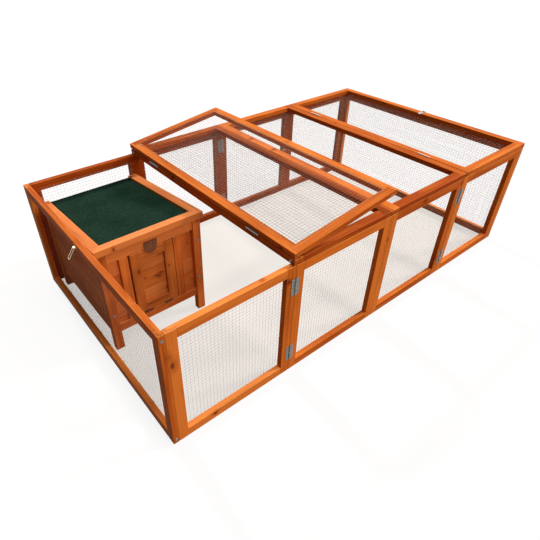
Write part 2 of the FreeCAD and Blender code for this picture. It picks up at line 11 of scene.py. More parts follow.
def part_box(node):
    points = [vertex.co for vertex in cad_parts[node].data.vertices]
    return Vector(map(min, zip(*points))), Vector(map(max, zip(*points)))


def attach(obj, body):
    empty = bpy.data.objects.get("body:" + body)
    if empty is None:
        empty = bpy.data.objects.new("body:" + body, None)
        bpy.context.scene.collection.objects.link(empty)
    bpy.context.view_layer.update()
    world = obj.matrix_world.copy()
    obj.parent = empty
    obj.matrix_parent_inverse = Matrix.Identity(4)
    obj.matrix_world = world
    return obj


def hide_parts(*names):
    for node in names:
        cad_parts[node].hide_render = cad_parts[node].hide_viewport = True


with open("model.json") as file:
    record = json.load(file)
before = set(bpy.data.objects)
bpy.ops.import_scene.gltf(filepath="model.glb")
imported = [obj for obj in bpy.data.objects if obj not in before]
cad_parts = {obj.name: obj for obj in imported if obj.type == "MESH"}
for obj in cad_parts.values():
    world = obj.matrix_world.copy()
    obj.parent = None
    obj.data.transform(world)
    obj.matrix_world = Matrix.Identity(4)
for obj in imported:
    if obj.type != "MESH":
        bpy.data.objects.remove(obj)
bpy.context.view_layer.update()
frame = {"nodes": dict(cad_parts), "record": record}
bodies = {node: body for body, nodes in frame["record"]["behaviour"]["bodies"].items() for node in nodes}
joints = {joint["name"]: joint for joint in frame["record"]["behaviour"]["joints"]}
chance = random.Random(7)

# Frames of the run: planed softwood battens, four to a frame, stained orange-brown; the back panels, fixed
# tops and left lid are drawn darker, a painted shade.
# The rails end in half-thickness tongues, glued into pockets behind the stiles, so each joint
# shows a butt line outside and a stepped line inside. Faces that lie upward are tinted paler: a painted
# sheen.
BATTEN_WIDTH = 0.034
TONGUE = 0.022
BATTEN_ARRIS = 0.0019
EASED_FROM = math.radians(35)
BAYS = (1, 2, 3, 4)
LOG_LENGTH = 30
PITH_NEAREST, PITH_FARTHEST = 0.006, 0.05
RING_WIDTH, END_RING_WIDTH = 0.008, 0.003
STAIN_GLOSS = 0.012
GRAIN_BUMP, GRAIN_DEPTH = 0.14, 0.0006
# Paler, yellower tint on faces whose normal points up: painted sheen
TOP_SHEEN_TINT, TOP_SHEEN_FROM, TOP_SHEEN_FULLY = (1.08, 1.3, 1.9, 1), 0.5, 0.95
SAPWOOD, SAPWOOD_SHARE, SAPWOOD_TONES = (1.04, 1.22, 1.7, 1), 0.75, (0.1, 0.5)
# Tone added to the battens of frames that lie in shade inside the run: painted shade
BACK_PAINTED_SHADE, TOP_PAINTED_SHADE, LID_PAINTED_SHADE = 1.1, 0.45, 0.25


def fill(tree, node, sockets):
    """Links or sets a node's sockets by name or number."""
    for name, value in sockets.items():
        if isinstance(value, bpy.types.NodeSocket):
            tree.links.new(value, node.inputs[name])
        else:
            node.inputs[name].default_value = value


def add(tree, kind, sockets=None, **settings):
    """A node with its settings and its sockets."""
    made = tree.nodes.new(kind)
    for name, value in settings.items():
        setattr(made, name, value)
    fill(tree, made, sockets or {})
    return made


def calc(tree, operation, *values):
    """One step of arithmetic on values or sockets."""
    return add(tree, "ShaderNodeMath", dict(enumerate(values)), operation=operation).outputs[0]


def fade(tree, value, start, end, first=0.0, last=1.0):
    """A soft step from first to last while the value goes from start to end."""
    sockets = {"Value": value, "From Min": start, "From Max": end, "To Min": first, "To Max": last}
    return add(tree, "ShaderNodeMapRange", sockets, interpolation_type="SMOOTHSTEP").outputs[0]


def tint(tree, share, first, second, blend_type="MIX"):
    """Two colours mixed by a share."""
    sockets = {0: share, 6: first, 7: second}
    return add(tree, "ShaderNodeMix", sockets, data_type="RGBA", blend_type=blend_type).outputs[2]


def stretched(tree, vector, scales):
    """Coordinates scaled differently along each axis."""
    return add(tree, "ShaderNodeVectorMath", {0: vector, 1: scales}, operation="MULTIPLY").outputs[0]


def noise(tree, vector, scale, detail=2.0, roughness=0.5):
    """Smooth noise from 0 to 1."""
    sockets = {"Vector": vector, "Scale": scale, "Detail": detail, "Roughness": roughness}
    return add(tree, "ShaderNodeTexNoise", sockets).outputs["Fac"]


def new_material(name):
    """A material, its nodes and its surface shader."""
    material = bpy.data.materials.new(name)
    material.use_nodes = True
    return material, material.node_tree, material.node_tree.nodes["Principled BSDF"]


def bump(tree, height, strength, depth):
    """The normal of a surface with small relief."""
    sockets = {"Height": height, "Strength": strength, "Distance": depth}
    return add(tree, "ShaderNodeBump", sockets).outputs[0]


def new_group(name, inputs, outputs):
    """A shader node group, what it is given and the node that takes its results."""
    group = bpy.data.node_groups.new(name, "ShaderNodeTree")
    for label, kind in inputs:
        group.interface.new_socket(label, in_out="INPUT", socket_type=kind)
    for label, kind in outputs:
        group.interface.new_socket(label, in_out="OUTPUT", socket_type=kind)
    return group, group.nodes.new("NodeGroupInput").outputs, group.nodes.new("NodeGroupOutput")


NUMBER, COLOUR, VECTOR = "NodeSocketFloat", "NodeSocketColor", "NodeSocketVector"
# How fast the grain's marks change along, across and through the log, and how much each darkens the wood
WANDER_RATE, FIBRE_RATE = (2.4, 16.0, 16.0), (9.0, 420.0, 420.0)
STREAK_RATE, BLOTCH_RATE = (3.0, 110.0, 110.0), (5.0, 24.0, 24.0)
RING_SHADE, FIBRE_SHADE, STREAK_SHADE = 0.15, 0.42, 0.34
BLOTCH_SHADE, TONE_SHADE, RIM_SHADE = 1.1, 0.75, 0.5
FIBRE_MEAN, BLOTCH_MEAN, TONE_MEAN = 0.5, 0.42, 0.42
LATE_WOOD, STREAKED = (0.35, 1.0), (0.42, 0.75)
FIBRE_SPAN, WOOD_ROUGHNESS = (0.2, 0.8), (0.42, 0.62)
KNOT_RATE, FRAY_RATE, FRAY = 14.0, 160.0, 0.05
RING_WANDER, RING_SWIRL = 0.02, 0.012
KNOT_CORE, KNOT_RIM, KNOT_SWIRL = (0.085, 0.125), (0.1, 0.3), (0.05, 0.5)
KNOT_COVER, KNOT_SINK, RING_RISE = 0.85, 0.5, 0.4
softwood, given, result = new_group(
    "softwood_grain",
    [("Grain", VECTOR), ("Tone", NUMBER), ("Pale Wood", COLOUR), ("Dark Wood", COLOUR),
     ("Knot Wood", COLOUR), ("Knot Share", NUMBER), ("Ring Width", NUMBER)],
    [("Colour", COLOUR), ("Height", NUMBER), ("Roughness", NUMBER)])
_, across, deep = add(softwood, "ShaderNodeSeparateXYZ", {0: given["Grain"]}).outputs
wander = noise(softwood, stretched(softwood, given["Grain"], WANDER_RATE), 1.0)
knot_cells = add(softwood, "ShaderNodeTexVoronoi", {"Vector": given["Grain"], "Scale": KNOT_RATE})
knot_pick = add(softwood, "ShaderNodeSeparateColor", {0: knot_cells.outputs["Color"]}).outputs[0]
knot_here = calc(softwood, "LESS_THAN", knot_pick, given["Knot Share"])
knot_far = calc(softwood, "MULTIPLY_ADD", noise(softwood, given["Grain"], FRAY_RATE), FRAY,
                knot_cells.outputs["Distance"])
knot, knot_rim, swirl = (calc(softwood, "MULTIPLY", fade(softwood, knot_far, *span, 1.0, 0.0), knot_here)
                         for span in (KNOT_CORE, KNOT_RIM, KNOT_SWIRL))
radius = calc(softwood, "SQRT", calc(softwood, "MULTIPLY_ADD", across, across,
                                     calc(softwood, "MULTIPLY", deep, deep)))
bent = calc(softwood, "MULTIPLY_ADD", wander, RING_WANDER, radius)
bent = calc(softwood, "MULTIPLY_ADD", swirl, RING_SWIRL, bent)
ring = calc(softwood, "PINGPONG", calc(softwood, "DIVIDE", bent, given["Ring Width"]), 1.0)
late_wood = fade(softwood, ring, *LATE_WOOD)
fibre = noise(softwood, stretched(softwood, given["Grain"], FIBRE_RATE), 1.0, 3.0, 0.6)
streak = noise(softwood, stretched(softwood, given["Grain"], STREAK_RATE), 1.0)
blotch = noise(softwood, stretched(softwood, given["Grain"], BLOTCH_RATE), 1.0)
shade = calc(softwood, "MULTIPLY", late_wood, RING_SHADE)
for mark, weight in ((calc(softwood, "SUBTRACT", fibre, FIBRE_MEAN), FIBRE_SHADE),
                     (fade(softwood, streak, *STREAKED), STREAK_SHADE),
                     (calc(softwood, "SUBTRACT", blotch, BLOTCH_MEAN), BLOTCH_SHADE),
                     (calc(softwood, "SUBTRACT", given["Tone"], TONE_MEAN), TONE_SHADE),
                     (knot_rim, RIM_SHADE)):
    shade = calc(softwood, "MULTIPLY_ADD", mark, weight, shade)
shade = add(softwood, "ShaderNodeClamp", {0: shade}).outputs[0]
wood = tint(softwood, shade, given["Pale Wood"], given["Dark Wood"])
sapwood = fade(softwood, given["Tone"], *SAPWOOD_TONES, SAPWOOD_SHARE, 0.0)
wood = tint(softwood, sapwood, wood, SAPWOOD, "MULTIPLY")
wood = tint(softwood, calc(softwood, "MULTIPLY", knot, KNOT_COVER), wood, given["Knot Wood"])
relief = calc(softwood, "MULTIPLY_ADD", late_wood, RING_RISE, fibre)
relief = calc(softwood, "SUBTRACT", relief, calc(softwood, "MULTIPLY", knot, KNOT_SINK))
fill(softwood, result, {"Colour": wood, "Height": relief,
                        "Roughness": fade(softwood, fibre, *FIBRE_SPAN, *WOOD_ROUGHNESS)})

MARK_FRAY_RATE, MARK_FRAY = 260.0, 0.9
MARK_CORE, MARK_HALO = (0.95, 1.35), (0.7, 3.0)
HALO_COVER, CORE_COVER = 0.45, 0.8
knot_mark, given, result = new_group(
    "single_knot", [("Spot", VECTOR), ("Centre", VECTOR), ("Size", NUMBER), ("Along", VECTOR)],
    [("Core", NUMBER), ("Halo", NUMBER)])
away = add(knot_mark, "ShaderNodeVectorMath", {0: given["Spot"], 1: given["Centre"]}, operation="SUBTRACT")
away = add(knot_mark, "ShaderNodeVectorMath", {0: away.outputs[0], 1: given["Along"]}, operation="MULTIPLY")
reach = add(knot_mark, "ShaderNodeVectorMath", {0: away.outputs[0]}, operation="LENGTH").outputs["Value"]
reach = calc(knot_mark, "DIVIDE", reach, given["Size"])
fray = noise(knot_mark, given["Spot"], MARK_FRAY_RATE, 3.0)
frayed = calc(knot_mark, "MULTIPLY_ADD", fray, MARK_FRAY, reach)
fill(knot_mark, result, {"Core": fade(knot_mark, frayed, *MARK_CORE, 1.0, 0.0),
                         "Halo": fade(knot_mark, reach, *MARK_HALO, 1.0, 0.0)})


def stained_wood(name, pale, dark, knot_colour, knot_share, ring_width=RING_WIDTH, knots=()):
    """Stained softwood: the shared grain in this piece's own colours, with a satin stain on it."""
    material, tree, surface = new_material(name)
    spot = add(tree, "ShaderNodeTexCoord").outputs
    grain = add(tree, "ShaderNodeAttribute", attribute_name="grain").outputs["Vector"]
    tone = add(tree, "ShaderNodeAttribute", attribute_name="tone").outputs["Fac"]
    sockets = {"Grain": grain, "Tone": tone, "Pale Wood": pale, "Dark Wood": dark, "Knot Wood": knot_colour,
               "Knot Share": knot_share, "Ring Width": ring_width}
    figure = add(tree, "ShaderNodeGroup", sockets, node_tree=softwood).outputs
    colour = figure["Colour"]
    for centre, size, along in knots:
        sockets = {"Spot": spot["Object"], "Centre": centre, "Size": size, "Along": along}
        mark = add(tree, "ShaderNodeGroup", sockets, node_tree=knot_mark).outputs
        colour = tint(tree, calc(tree, "MULTIPLY", mark["Halo"], HALO_COVER), colour, dark)
        colour = tint(tree, calc(tree, "MULTIPLY", mark["Core"], CORE_COVER), colour, knot_colour)
    # Faces that lie upward get the painted sheen tint
    upward = add(tree, "ShaderNodeSeparateXYZ", {0: spot["Normal"]}).outputs[2]
    colour = tint(tree, fade(tree, upward, TOP_SHEEN_FROM, TOP_SHEEN_FULLY), colour, TOP_SHEEN_TINT, "MULTIPLY")
    fill(tree, surface, {
        "Base Color": colour, "Roughness": figure["Roughness"], "Specular IOR Level": STAIN_GLOSS,
        "Normal": bump(tree, figure["Height"], GRAIN_BUMP, GRAIN_DEPTH)})
    return material


def timber_mesh():
    """An empty mesh whose points carry the log's own coordinates and a tone for each batten."""
    mesh = bmesh.new()
    mesh.verts.layers.float_vector.new("grain")
    mesh.verts.layers.float.new("tone")
    return mesh


def batten(mesh, low, high, place, cuts=(), bend=None, painted_dark=0.0):
    """A sawn batten from corner to corner less its cuts, with the grain along its longest side."""
    marks = []
    for axis in range(3):
        steps = {low[axis], high[axis]}
        for cut in cuts:
            steps |= {corner[axis] for corner in cut if low[axis] < corner[axis] < high[axis]}
        marks.append(sorted(steps))
    sides = [high[axis] - low[axis] for axis in range(3)]
    long_way = sides.index(max(sides))
    order = [long_way] + [axis for axis in range(3) if axis != long_way]
    heart = [low[axis] + (0 if axis == long_way else sides[axis] / 2) for axis in range(3)]
    pith_turn = chance.uniform(0, 2 * math.pi)
    pith_far = chance.uniform(PITH_NEAREST, PITH_FARTHEST)
    log = (chance.uniform(0, LOG_LENGTH), pith_far * math.cos(pith_turn), pith_far * math.sin(pith_turn))
    # A frame's painted shade pushes its battens' tone towards the dark wood
    tone = chance.random() + painted_dark
    grain_layer = mesh.verts.layers.float_vector["grain"]
    tone_layer = mesh.verts.layers.float["tone"]
    points = {}

    def point(key):
        if key not in points:
            spot = Vector([marks[axis][key[axis]] for axis in range(3)])
            vert = mesh.verts.new(place @ (bend(spot) if bend else spot))
            vert[grain_layer] = [spot[axis] - heart[axis] + log[i] for i, axis in enumerate(order)]
            vert[tone_layer] = tone
            points[key] = vert
        return points[key]

    def filled(cell):
        for axis in range(3):
            if not 0 <= cell[axis] < len(marks[axis]) - 1:
                return False
        middle = [sum(marks[axis][cell[axis]:cell[axis] + 2]) / 2 for axis in range(3)]
        return not any(all(cut[0][axis] < middle[axis] < cut[1][axis] for axis in range(3)) for cut in cuts)

    faces = []
    for cell in product(*(range(len(steps) - 1) for steps in marks)):
        for axis, way in product(range(3), (0, 1)):
            beside = list(cell)
            beside[axis] += 1 if way else -1
            if not filled(cell) or filled(beside):
                continue
            loop = []
            for one, two in ((0, 0), (1, 0), (1, 1), (0, 1)):
                key = list(cell)
                key[axis] += way
                key[(axis + 1) % 3] += one
                key[(axis + 2) % 3] += two
                loop.append(point(tuple(key)))
            face = mesh.faces.new(loop if way else loop[::-1])
            face.material_index = 1 if axis == long_way else 0
            faces.append(face)
    edges = list({edge for face in faces for edge in face.edges})
    bmesh.ops.dissolve_limit(mesh, angle_limit=math.radians(1), verts=list(points.values()),
                             edges=edges, delimit={"MATERIAL"})


def placed(name, data):
    """An object in the scene that shows a mesh, a lamp or a lens."""
    made = bpy.data.objects.new(name, data)
    bpy.context.scene.collection.objects.link(made)
    return made


def piece(name, mesh, materials, node, arris=None, edge_material=-1, segments=2):
    """An object from a mesh, with eased edges, standing for a node and riding on that node's body."""
    shape = bpy.data.meshes.new(name)
    mesh.normal_update()
    mesh.to_mesh(shape)
    mesh.free()
    made = placed(name, shape)
    for material in materials:
        shape.materials.append(material)
    if arris:
        for face in shape.polygons:
            face.use_smooth = True
        bevel = made.modifiers.new("eased_edges", "BEVEL")
        bevel.width = arris
        bevel.segments = segments
        bevel.limit_method = "ANGLE"
        bevel.angle_limit = EASED_FROM
        bevel.harden_normals = True
        bevel.material = edge_material
    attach(made, bodies[node])
    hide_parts(node)
    return made


def timber_piece(name, mesh, wood, node, arris=BATTEN_ARRIS):
    """A piece of stained timber: its wood is listed as faces, sawn ends and eased edges."""
    piece(name, mesh, wood, node, arris, edge_material=2)


RUN_KNOT = (0.12, 0.026, 0.008, 1)
# Single knots: where, how large, and drawn out along an upright or a level batten
UPRIGHT, LEVEL = (1.0, 1.0, 0.55), (0.55, 1.0, 1.0)
RUN_KNOTS = [((-0.8752, -0.5, 0.337), 0.0085, UPRIGHT), ((-0.8844, -0.5, 0.375), 0.0065, UPRIGHT)]
run_wood = [
    stained_wood("run_batten_faces", (0.70, 0.156, 0.018, 1), (0.31, 0.044, 0.005, 1), RUN_KNOT,
                 knot_share=0.34, knots=RUN_KNOTS),
    stained_wood("run_batten_ends", (0.50, 0.115, 0.016, 1), (0.20, 0.034, 0.005, 1), RUN_KNOT,
                 knot_share=0.0, ring_width=END_RING_WIDTH),
    # Eased edges are paler than the faces: rubbed wear, with a painted highlight along them
    stained_wood("run_batten_arrises", (0.74, 0.195, 0.028, 1), (0.44, 0.075, 0.008, 1), RUN_KNOT,
                 knot_share=0.2),
]


def at(x, y, z):
    """A shift from the origin."""
    return Matrix.Translation((x, y, z))


def spun(degrees, axis):
    """A turn about an axis through the origin."""
    return Matrix.Rotation(math.radians(degrees), 4, axis)


def upright(node):
    """The place of an upright frame, its outer face outwards, and its width, height and depth."""
    low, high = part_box(node)
    x, y, degrees = {"front": (low[0], low[1], 0), "back": (high[0], high[1], 180),
                     "left": (low[0], high[1], -90), "right": (high[0], low[1], 90)}[node.split("_")[0]]
    width, depth = high[0] - low[0], high[1] - low[1]
    if node.startswith(("left", "right")):
        width, depth = depth, width
    return at(x, y, low[2]) @ spun(degrees, "Z"), width, high[2], depth


def laid(node):
    """The place of a frame laid flat with its outer face up, and its width, height and depth."""
    low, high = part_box(node)
    place = at(low[0], low[1], high[2]) @ spun(-90, "X")
    return place, high[0] - low[0], high[1] - low[1], high[2] - low[2]


run_frames = {}
for side in ("front", "back"):
    for bay in BAYS:
        run_frames[f"{side}_panel_{bay}"] = upright(f"{side}_panel_{bay}_frame")
for name in ("left_end", "right_end"):
    run_frames[name] = upright(f"{name}_frame")
for name in ("top_2", "top_3", "right_lid"):
    run_frames[name] = laid(f"{name}_frame")
# Frames drawn darker with painted shade, and how much
frame_painted_shade = {"top_2": TOP_PAINTED_SHADE, "top_3": TOP_PAINTED_SHADE, "left_lid": LID_PAINTED_SHADE}
frame_painted_shade.update({f"back_panel_{bay}": BACK_PAINTED_SHADE for bay in BAYS})

# The left lid is the right one turned end for end, then folded back about its hinges
hinge = joints["left_lid_hinge"]
hinge_spot = Matrix.Translation(hinge["pos_m"])
fold = spun(-hinge["range_deg"][1], Vector(hinge["axis"]))
end_for_end = spun(180, "Z")
right_place, lid_width, lid_height, lid_depth = run_frames["right_lid"]
run_frames["left_lid"] = (hinge_spot @ fold @ hinge_spot.inverted() @ end_for_end @ right_place,
                          lid_width, lid_height, lid_depth)

for name, (place, width, height, depth) in run_frames.items():
    mesh = timber_mesh()
    half = depth / 2
    far = width - BATTEN_WIDTH
    near_pocket = BATTEN_WIDTH - TONGUE
    far_pocket = far + TONGUE
    head = height - BATTEN_WIDTH
    painted_dark = frame_painted_shade.get(name, 0.0)
    for stile, pocket, pocket_end in ((0, near_pocket, BATTEN_WIDTH), (far, far, far_pocket)):
        pockets = [((pocket, half, 0), (pocket_end, depth, BATTEN_WIDTH)),
                   ((pocket, half, head), (pocket_end, depth, height))]
        batten(mesh, (stile, 0, 0), (stile + BATTEN_WIDTH, depth, height), place, pockets, painted_dark=painted_dark)
    for foot in (0, head):
        top = foot + BATTEN_WIDTH
        shoulders = [((near_pocket, 0, foot), (BATTEN_WIDTH, half, top)),
                     ((far, 0, foot), (far_pocket, half, top))]
        batten(mesh, (near_pocket, 0, foot), (far_pocket, depth, top), place, shoulders, painted_dark=painted_dark)
    timber_piece(f"{name}_battens", mesh, run_wood, f"{name}_frame")

# Nets: welded galvanised wire in half-inch squares, cut to lap onto the battens inside each frame.
# Round steel staples hold the cut edge down every hand's width or so. The left end's net is browner and
# darker: painted shade.
NET_LAP = 0.011
NET_PITCH = 0.0127
NET_WIRE = 0.00026
WIRE_WELD = 0.0004
WIRE_LEAN = 0.0006
WIRE_TRIM = 0.0015
CUT_SPARE = 0.004
STAPLE_STEP = 0.095
STAPLE_CROWN = 0.011
STAPLE_WIRE = 0.0006
STAPLE_STRAY = 0.25
STAPLE_TWIST = 0.5
PLATE_BUMP, PLATE_DEPTH = 0.12, 0.0002
PLATE_SHADE, PLATE_CLOUD, PLATE_DULLING = (0.3, 0.75), (0.3, 0.7), (-0.08, 0.12)
SPECKS_A_PATCH = 9
CLOUD_SHARE, SPECK_SHARE = 0.7, 0.35


def plated_steel(name, pale, dark, roughness, patch, metal=0.9, gloss=0.5):
    """Plated steel: cloudy spangles in the plating, fine specks and dulled patches."""
    material, tree, surface = new_material(name)
    spot = add(tree, "ShaderNodeTexCoord").outputs["Object"]
    cloud = noise(tree, spot, patch, 3.0, 0.6)
    speck = noise(tree, spot, patch * SPECKS_A_PATCH, 2.0, 0.6)
    share = calc(tree, "MULTIPLY_ADD", speck, SPECK_SHARE, calc(tree, "MULTIPLY", cloud, CLOUD_SHARE))
    fill(tree, surface, {
        "Base Color": tint(tree, fade(tree, share, *PLATE_SHADE), pale, dark), "Metallic": metal,
        "Roughness": fade(tree, cloud, *PLATE_CLOUD, *(roughness + change for change in PLATE_DULLING)),
        "Specular IOR Level": gloss, "Normal": bump(tree, speck, PLATE_BUMP, PLATE_DEPTH)})
    return material


# The wire's tan-brown colour is a painted reflection of the stained wood round it
net_steel = plated_steel("galvanised_net_wire", (0.50, 0.345, 0.275, 1), (0.31, 0.195, 0.15, 1),
                         roughness=0.5, patch=90.0, metal=0.0, gloss=0.12)
# Dark brown wire for the left end's net: painted shade
shaded_net = plated_steel("painted_shade_net_wire", (0.20, 0.095, 0.058, 1), (0.11, 0.048, 0.028, 1),
                           roughness=0.5, patch=90.0, metal=0.0, gloss=0.05)
staple_steel = plated_steel("staple_wire", (0.55, 0.53, 0.50, 1), (0.30, 0.28, 0.26, 1),
                            roughness=0.35, patch=300.0)


def wire(mesh, start, end, thick, place, material=0, sides=6):
    """A straight round wire with closed ends."""
    start, end = Vector(start), Vector(end)
    turn = (end - start).to_track_quat("Z", "Y").to_matrix()
    rings = []
    for centre in (start, end):
        ring = []
        for i in range(sides):
            angle = 2 * math.pi * i / sides
            spoke = turn @ Vector((thick * math.cos(angle), thick * math.sin(angle), 0))
            ring.append(mesh.verts.new(place @ (centre + spoke)))
        rings.append(ring)
    for i in range(sides):
        j = (i + 1) % sides
        face = mesh.faces.new((rings[0][i], rings[0][j], rings[1][j], rings[1][i]))
        face.smooth = True
        face.material_index = material
    for cap in (rings[0][::-1], rings[1]):
        mesh.faces.new(cap).material_index = material


def crossings(low, high):
    """Where the cross wires lie between two cut edges."""
    count = int((high - low - CUT_SPARE) / NET_PITCH)
    first = (low + high - count * NET_PITCH) / 2
    return [first + i * NET_PITCH for i in range(count + 1)]


def staple(mesh, x, z, turn, face_y, place):
    """A staple driven over the net: a crown and two short legs."""
    reach = Vector((math.cos(turn), 0, math.sin(turn))) * STAPLE_CROWN / 2
    middle = Vector((x, face_y + 2 * NET_WIRE + WIRE_WELD + STAPLE_WIRE, z))
    wire(mesh, middle - reach, middle + reach, STAPLE_WIRE, place, 1)
    for end in (middle - reach, middle + reach):
        wire(mesh, end, (end[0], face_y - STAPLE_WIRE, end[2]), STAPLE_WIRE, place, 1)


for name, (place, width, height, depth) in run_frames.items():
    mesh = bmesh.new()
    low = BATTEN_WIDTH - NET_LAP
    right, top = width - low, height - low
    under, over = depth + NET_WIRE, depth + NET_WIRE + WIRE_WELD
    columns, rows = crossings(low, right), crossings(low, top)
    for x in columns:
        lean = chance.uniform(-WIRE_LEAN, WIRE_LEAN)
        trim = chance.uniform(0, WIRE_TRIM)
        wire(mesh, (x - lean, under, low + trim), (x + lean, under, top - trim), NET_WIRE, place)
    for z in rows:
        lean = chance.uniform(-WIRE_LEAN, WIRE_LEAN)
        trim = chance.uniform(0, WIRE_TRIM)
        wire(mesh, (low + trim, over, z - lean), (right - trim, over, z + lean), NET_WIRE, place)
    inset = low + NET_LAP / 2
    for edge_low, edge_high, upright_edge in ((low, right, False), (low, top, True)):
        count = int((edge_high - edge_low) / STAPLE_STEP)
        for i in range(count):
            stray = chance.uniform(-STAPLE_STRAY, STAPLE_STRAY)
            spot = edge_low + (i + 0.5 + stray) * (edge_high - edge_low) / count
            for edge in (inset, (width if upright_edge else height) - inset):
                turn = chance.uniform(-STAPLE_TWIST, STAPLE_TWIST) + (0 if upright_edge else math.pi / 2)
                x, z = (edge, spot) if upright_edge else (spot, edge)
                staple(mesh, x, z, turn, depth, place)
    # The left end's net takes the painted-shade wire
    finish = shaded_net if name == "left_end" else net_steel
    piece(f"{name}_wire_net", mesh, [finish, staple_steel], f"{name}_net")

# Panel hinges: pressed zinc-plated butt hinges that join neighbouring side panels.
# Five rolled knuckles on a pin, and three screws in each leaf. Those of the middle seam are inside the run.
LEAF_THICK = 0.001
KNUCKLES = 5
KNUCKLE = 0.0022
KNUCKLE_EASE = KNUCKLE * 0.12
KNUCKLE_GAP = 0.0003
PIN = KNUCKLE * 0.5
PIN_TIP = KNUCKLE * 0.1
HINGE_ARRIS = 0.00025
MIDDLE_SEAM = 2
PANEL_LEAF = (0.016, 0.065)
PANEL_HINGE_HEIGHTS = (0.090, 0.380)
SCREW_OUT, SCREW_ROWS = 0.010, (-1 / 3, 0, 1 / 3)
SCREW_SINK, SCREW_SIDES = 0.9, 14
SCREW_HEAD = [(0.0023, 0.0), (0.0023, 0.0002), (0.0017, 0.0007), (0.0008, 0.0009), (0.00075, 0.0004),
              (0.0, 0.0003)]
zinc = plated_steel("zinc_plate", (0.30, 0.29, 0.265, 1), (0.14, 0.135, 0.122, 1),
                    roughness=0.42, patch=160.0)
screw_zinc = plated_steel("screw_zinc", (0.30, 0.30, 0.28, 1), (0.12, 0.12, 0.115, 1),
                          roughness=0.36, patch=400.0)


def turned(mesh, place, profile, sides=16, material=0):
    """A round piece turned about its own Z from (radius, height) steps; zero radius closes it."""
    last = None
    for round_step, height in profile:
        if round_step == 0:
            tip = mesh.verts.new(place @ Vector((0, 0, height)))
            for i in range(sides):
                face = mesh.faces.new((last[i], last[(i + 1) % sides], tip))
                face.smooth, face.material_index = True, material
            return
        angles = [2 * math.pi * i / sides for i in range(sides)]
        ring = [mesh.verts.new(place @ Vector((round_step * math.cos(a), round_step * math.sin(a), height)))
                for a in angles]
        if last:
            for i in range(sides):
                j = (i + 1) % sides
                face = mesh.faces.new((last[i], last[j], ring[j], ring[i]))
                face.smooth, face.material_index = True, material
        last = ring


def plate(mesh, low, high, place, material=0):
    """A flat plate from corner to corner."""
    box = bmesh.ops.create_cube(mesh, size=1.0)
    centre = (Vector(low) + Vector(high)) / 2
    size = Vector(high) - Vector(low)
    for vert in box["verts"]:
        vert.co = place @ (centre + Vector([vert.co[i] * size[i] for i in range(3)]))
    for face in {face for vert in box["verts"] for face in vert.link_faces}:
        face.material_index = material


def knuckle(mesh, place, tall, bore):
    """A rolled knuckle on its own Z, with eased rims and an open bore."""
    rim = KNUCKLE - KNUCKLE_EASE
    turned(mesh, place, [(bore, 0), (rim, 0), (KNUCKLE, KNUCKLE_EASE), (KNUCKLE, tall - KNUCKLE_EASE),
                         (rim, tall), (bore, tall)])


def hinge_pin(mesh, place, length):
    """The pin in a hinge's knuckles, with a low tip."""
    turned(mesh, place, [(PIN, 0), (PIN, length), (0, length + PIN_TIP)])


def butt_hinge(mesh, place, leaf_width, length):
    """An open hinge on a face: X across the seam, Y out of the face, Z along the pin."""
    knuckle_pitch = length / KNUCKLES
    tall = knuckle_pitch - KNUCKLE_GAP
    for i in range(KNUCKLES):
        foot = -length / 2 + i * knuckle_pitch + KNUCKLE_GAP / 2
        knuckle(mesh, place @ at(0, KNUCKLE, foot), tall, PIN)
        way = 1 if i % 2 == 0 else -1
        root = sorted((0, way * (KNUCKLE + KNUCKLE_GAP)))
        plate(mesh, (root[0], 0, foot), (root[1], LEAF_THICK, foot + tall), place)
    hinge_pin(mesh, place @ at(0, KNUCKLE, -length / 2), length)
    for way in (-1, 1):
        edge = sorted((way * (KNUCKLE + KNUCKLE_GAP), way * leaf_width))
        plate(mesh, (edge[0], 0, -length / 2), (edge[1], LEAF_THICK, length / 2), place)
        for share in SCREW_ROWS:
            seat = at(way * SCREW_OUT, LEAF_THICK * SCREW_SINK, share * length)
            turned(mesh, place @ seat @ spun(-90, "X"), SCREW_HEAD, SCREW_SIDES, 1)


run_low, run_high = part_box("front_panel_1_frame")[0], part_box("back_panel_4_frame")[1]
panel_depth = run_frames["front_panel_1"][3]
for side, face_y, out in (("front", run_low[1], -1), ("back", run_high[1], 1)):
    mesh = bmesh.new()
    for seam in BAYS[:-1]:
        one, other = (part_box(f"{side}_panel_{bay}_frame") for bay in (seam, seam + 1))
        seam_x = (one[1][0] + other[0][0]) / 2
        inside = seam == MIDDLE_SEAM
        faces_out = -out if inside else out
        turn = spun(180 if faces_out < 0 else 0, "Z")
        for height in PANEL_HINGE_HEIGHTS:
            seat = at(seam_x, face_y - out * panel_depth if inside else face_y, height)
            butt_hinge(mesh, seat @ turn, *PANEL_LEAF)
    piece(f"{side}_butt_hinges", mesh, [zinc, screw_zinc], f"{side}_panel_hinges",
          HINGE_ARRIS, segments=1)

# Lid hinges: the same pressed hinges, folded shut in the seam beside each lid with their knuckles on top.
# They went on before the frames were stained: the leaves are stained over, dark grey near the pin,
# and the knuckles are near white: a painted highlight.
LID_LEAF = (0.017, 0.058)
LID_HINGE_INSET = 0.195
LID_BORE = KNUCKLE * 0.62
LEAF_ROOT = KNUCKLE * 0.66
SEAM_HALF = 0.0012
LEAF_BARE = 0.0065
# Dark grey strip of each leaf next to the pin
dark_leaf = plated_steel("dark_grey_leaf_zinc", (0.12, 0.115, 0.11, 1), (0.06, 0.055, 0.05, 1),
                         roughness=0.5, patch=120.0, metal=0.4)
stained_leaf = plated_steel("stain_over_zinc", (0.44, 0.088, 0.010, 1), (0.27, 0.048, 0.006, 1),
                            roughness=0.5, patch=120.0, metal=0.0, gloss=0.04)
# Near-white knuckles: a painted highlight
knuckle_highlight = plated_steel("knuckles_painted_highlight", (0.93, 0.93, 0.92, 1), (0.72, 0.72, 0.71, 1),
                            roughness=0.35, patch=160.0, metal=0.0)
still = Matrix.Identity(4)


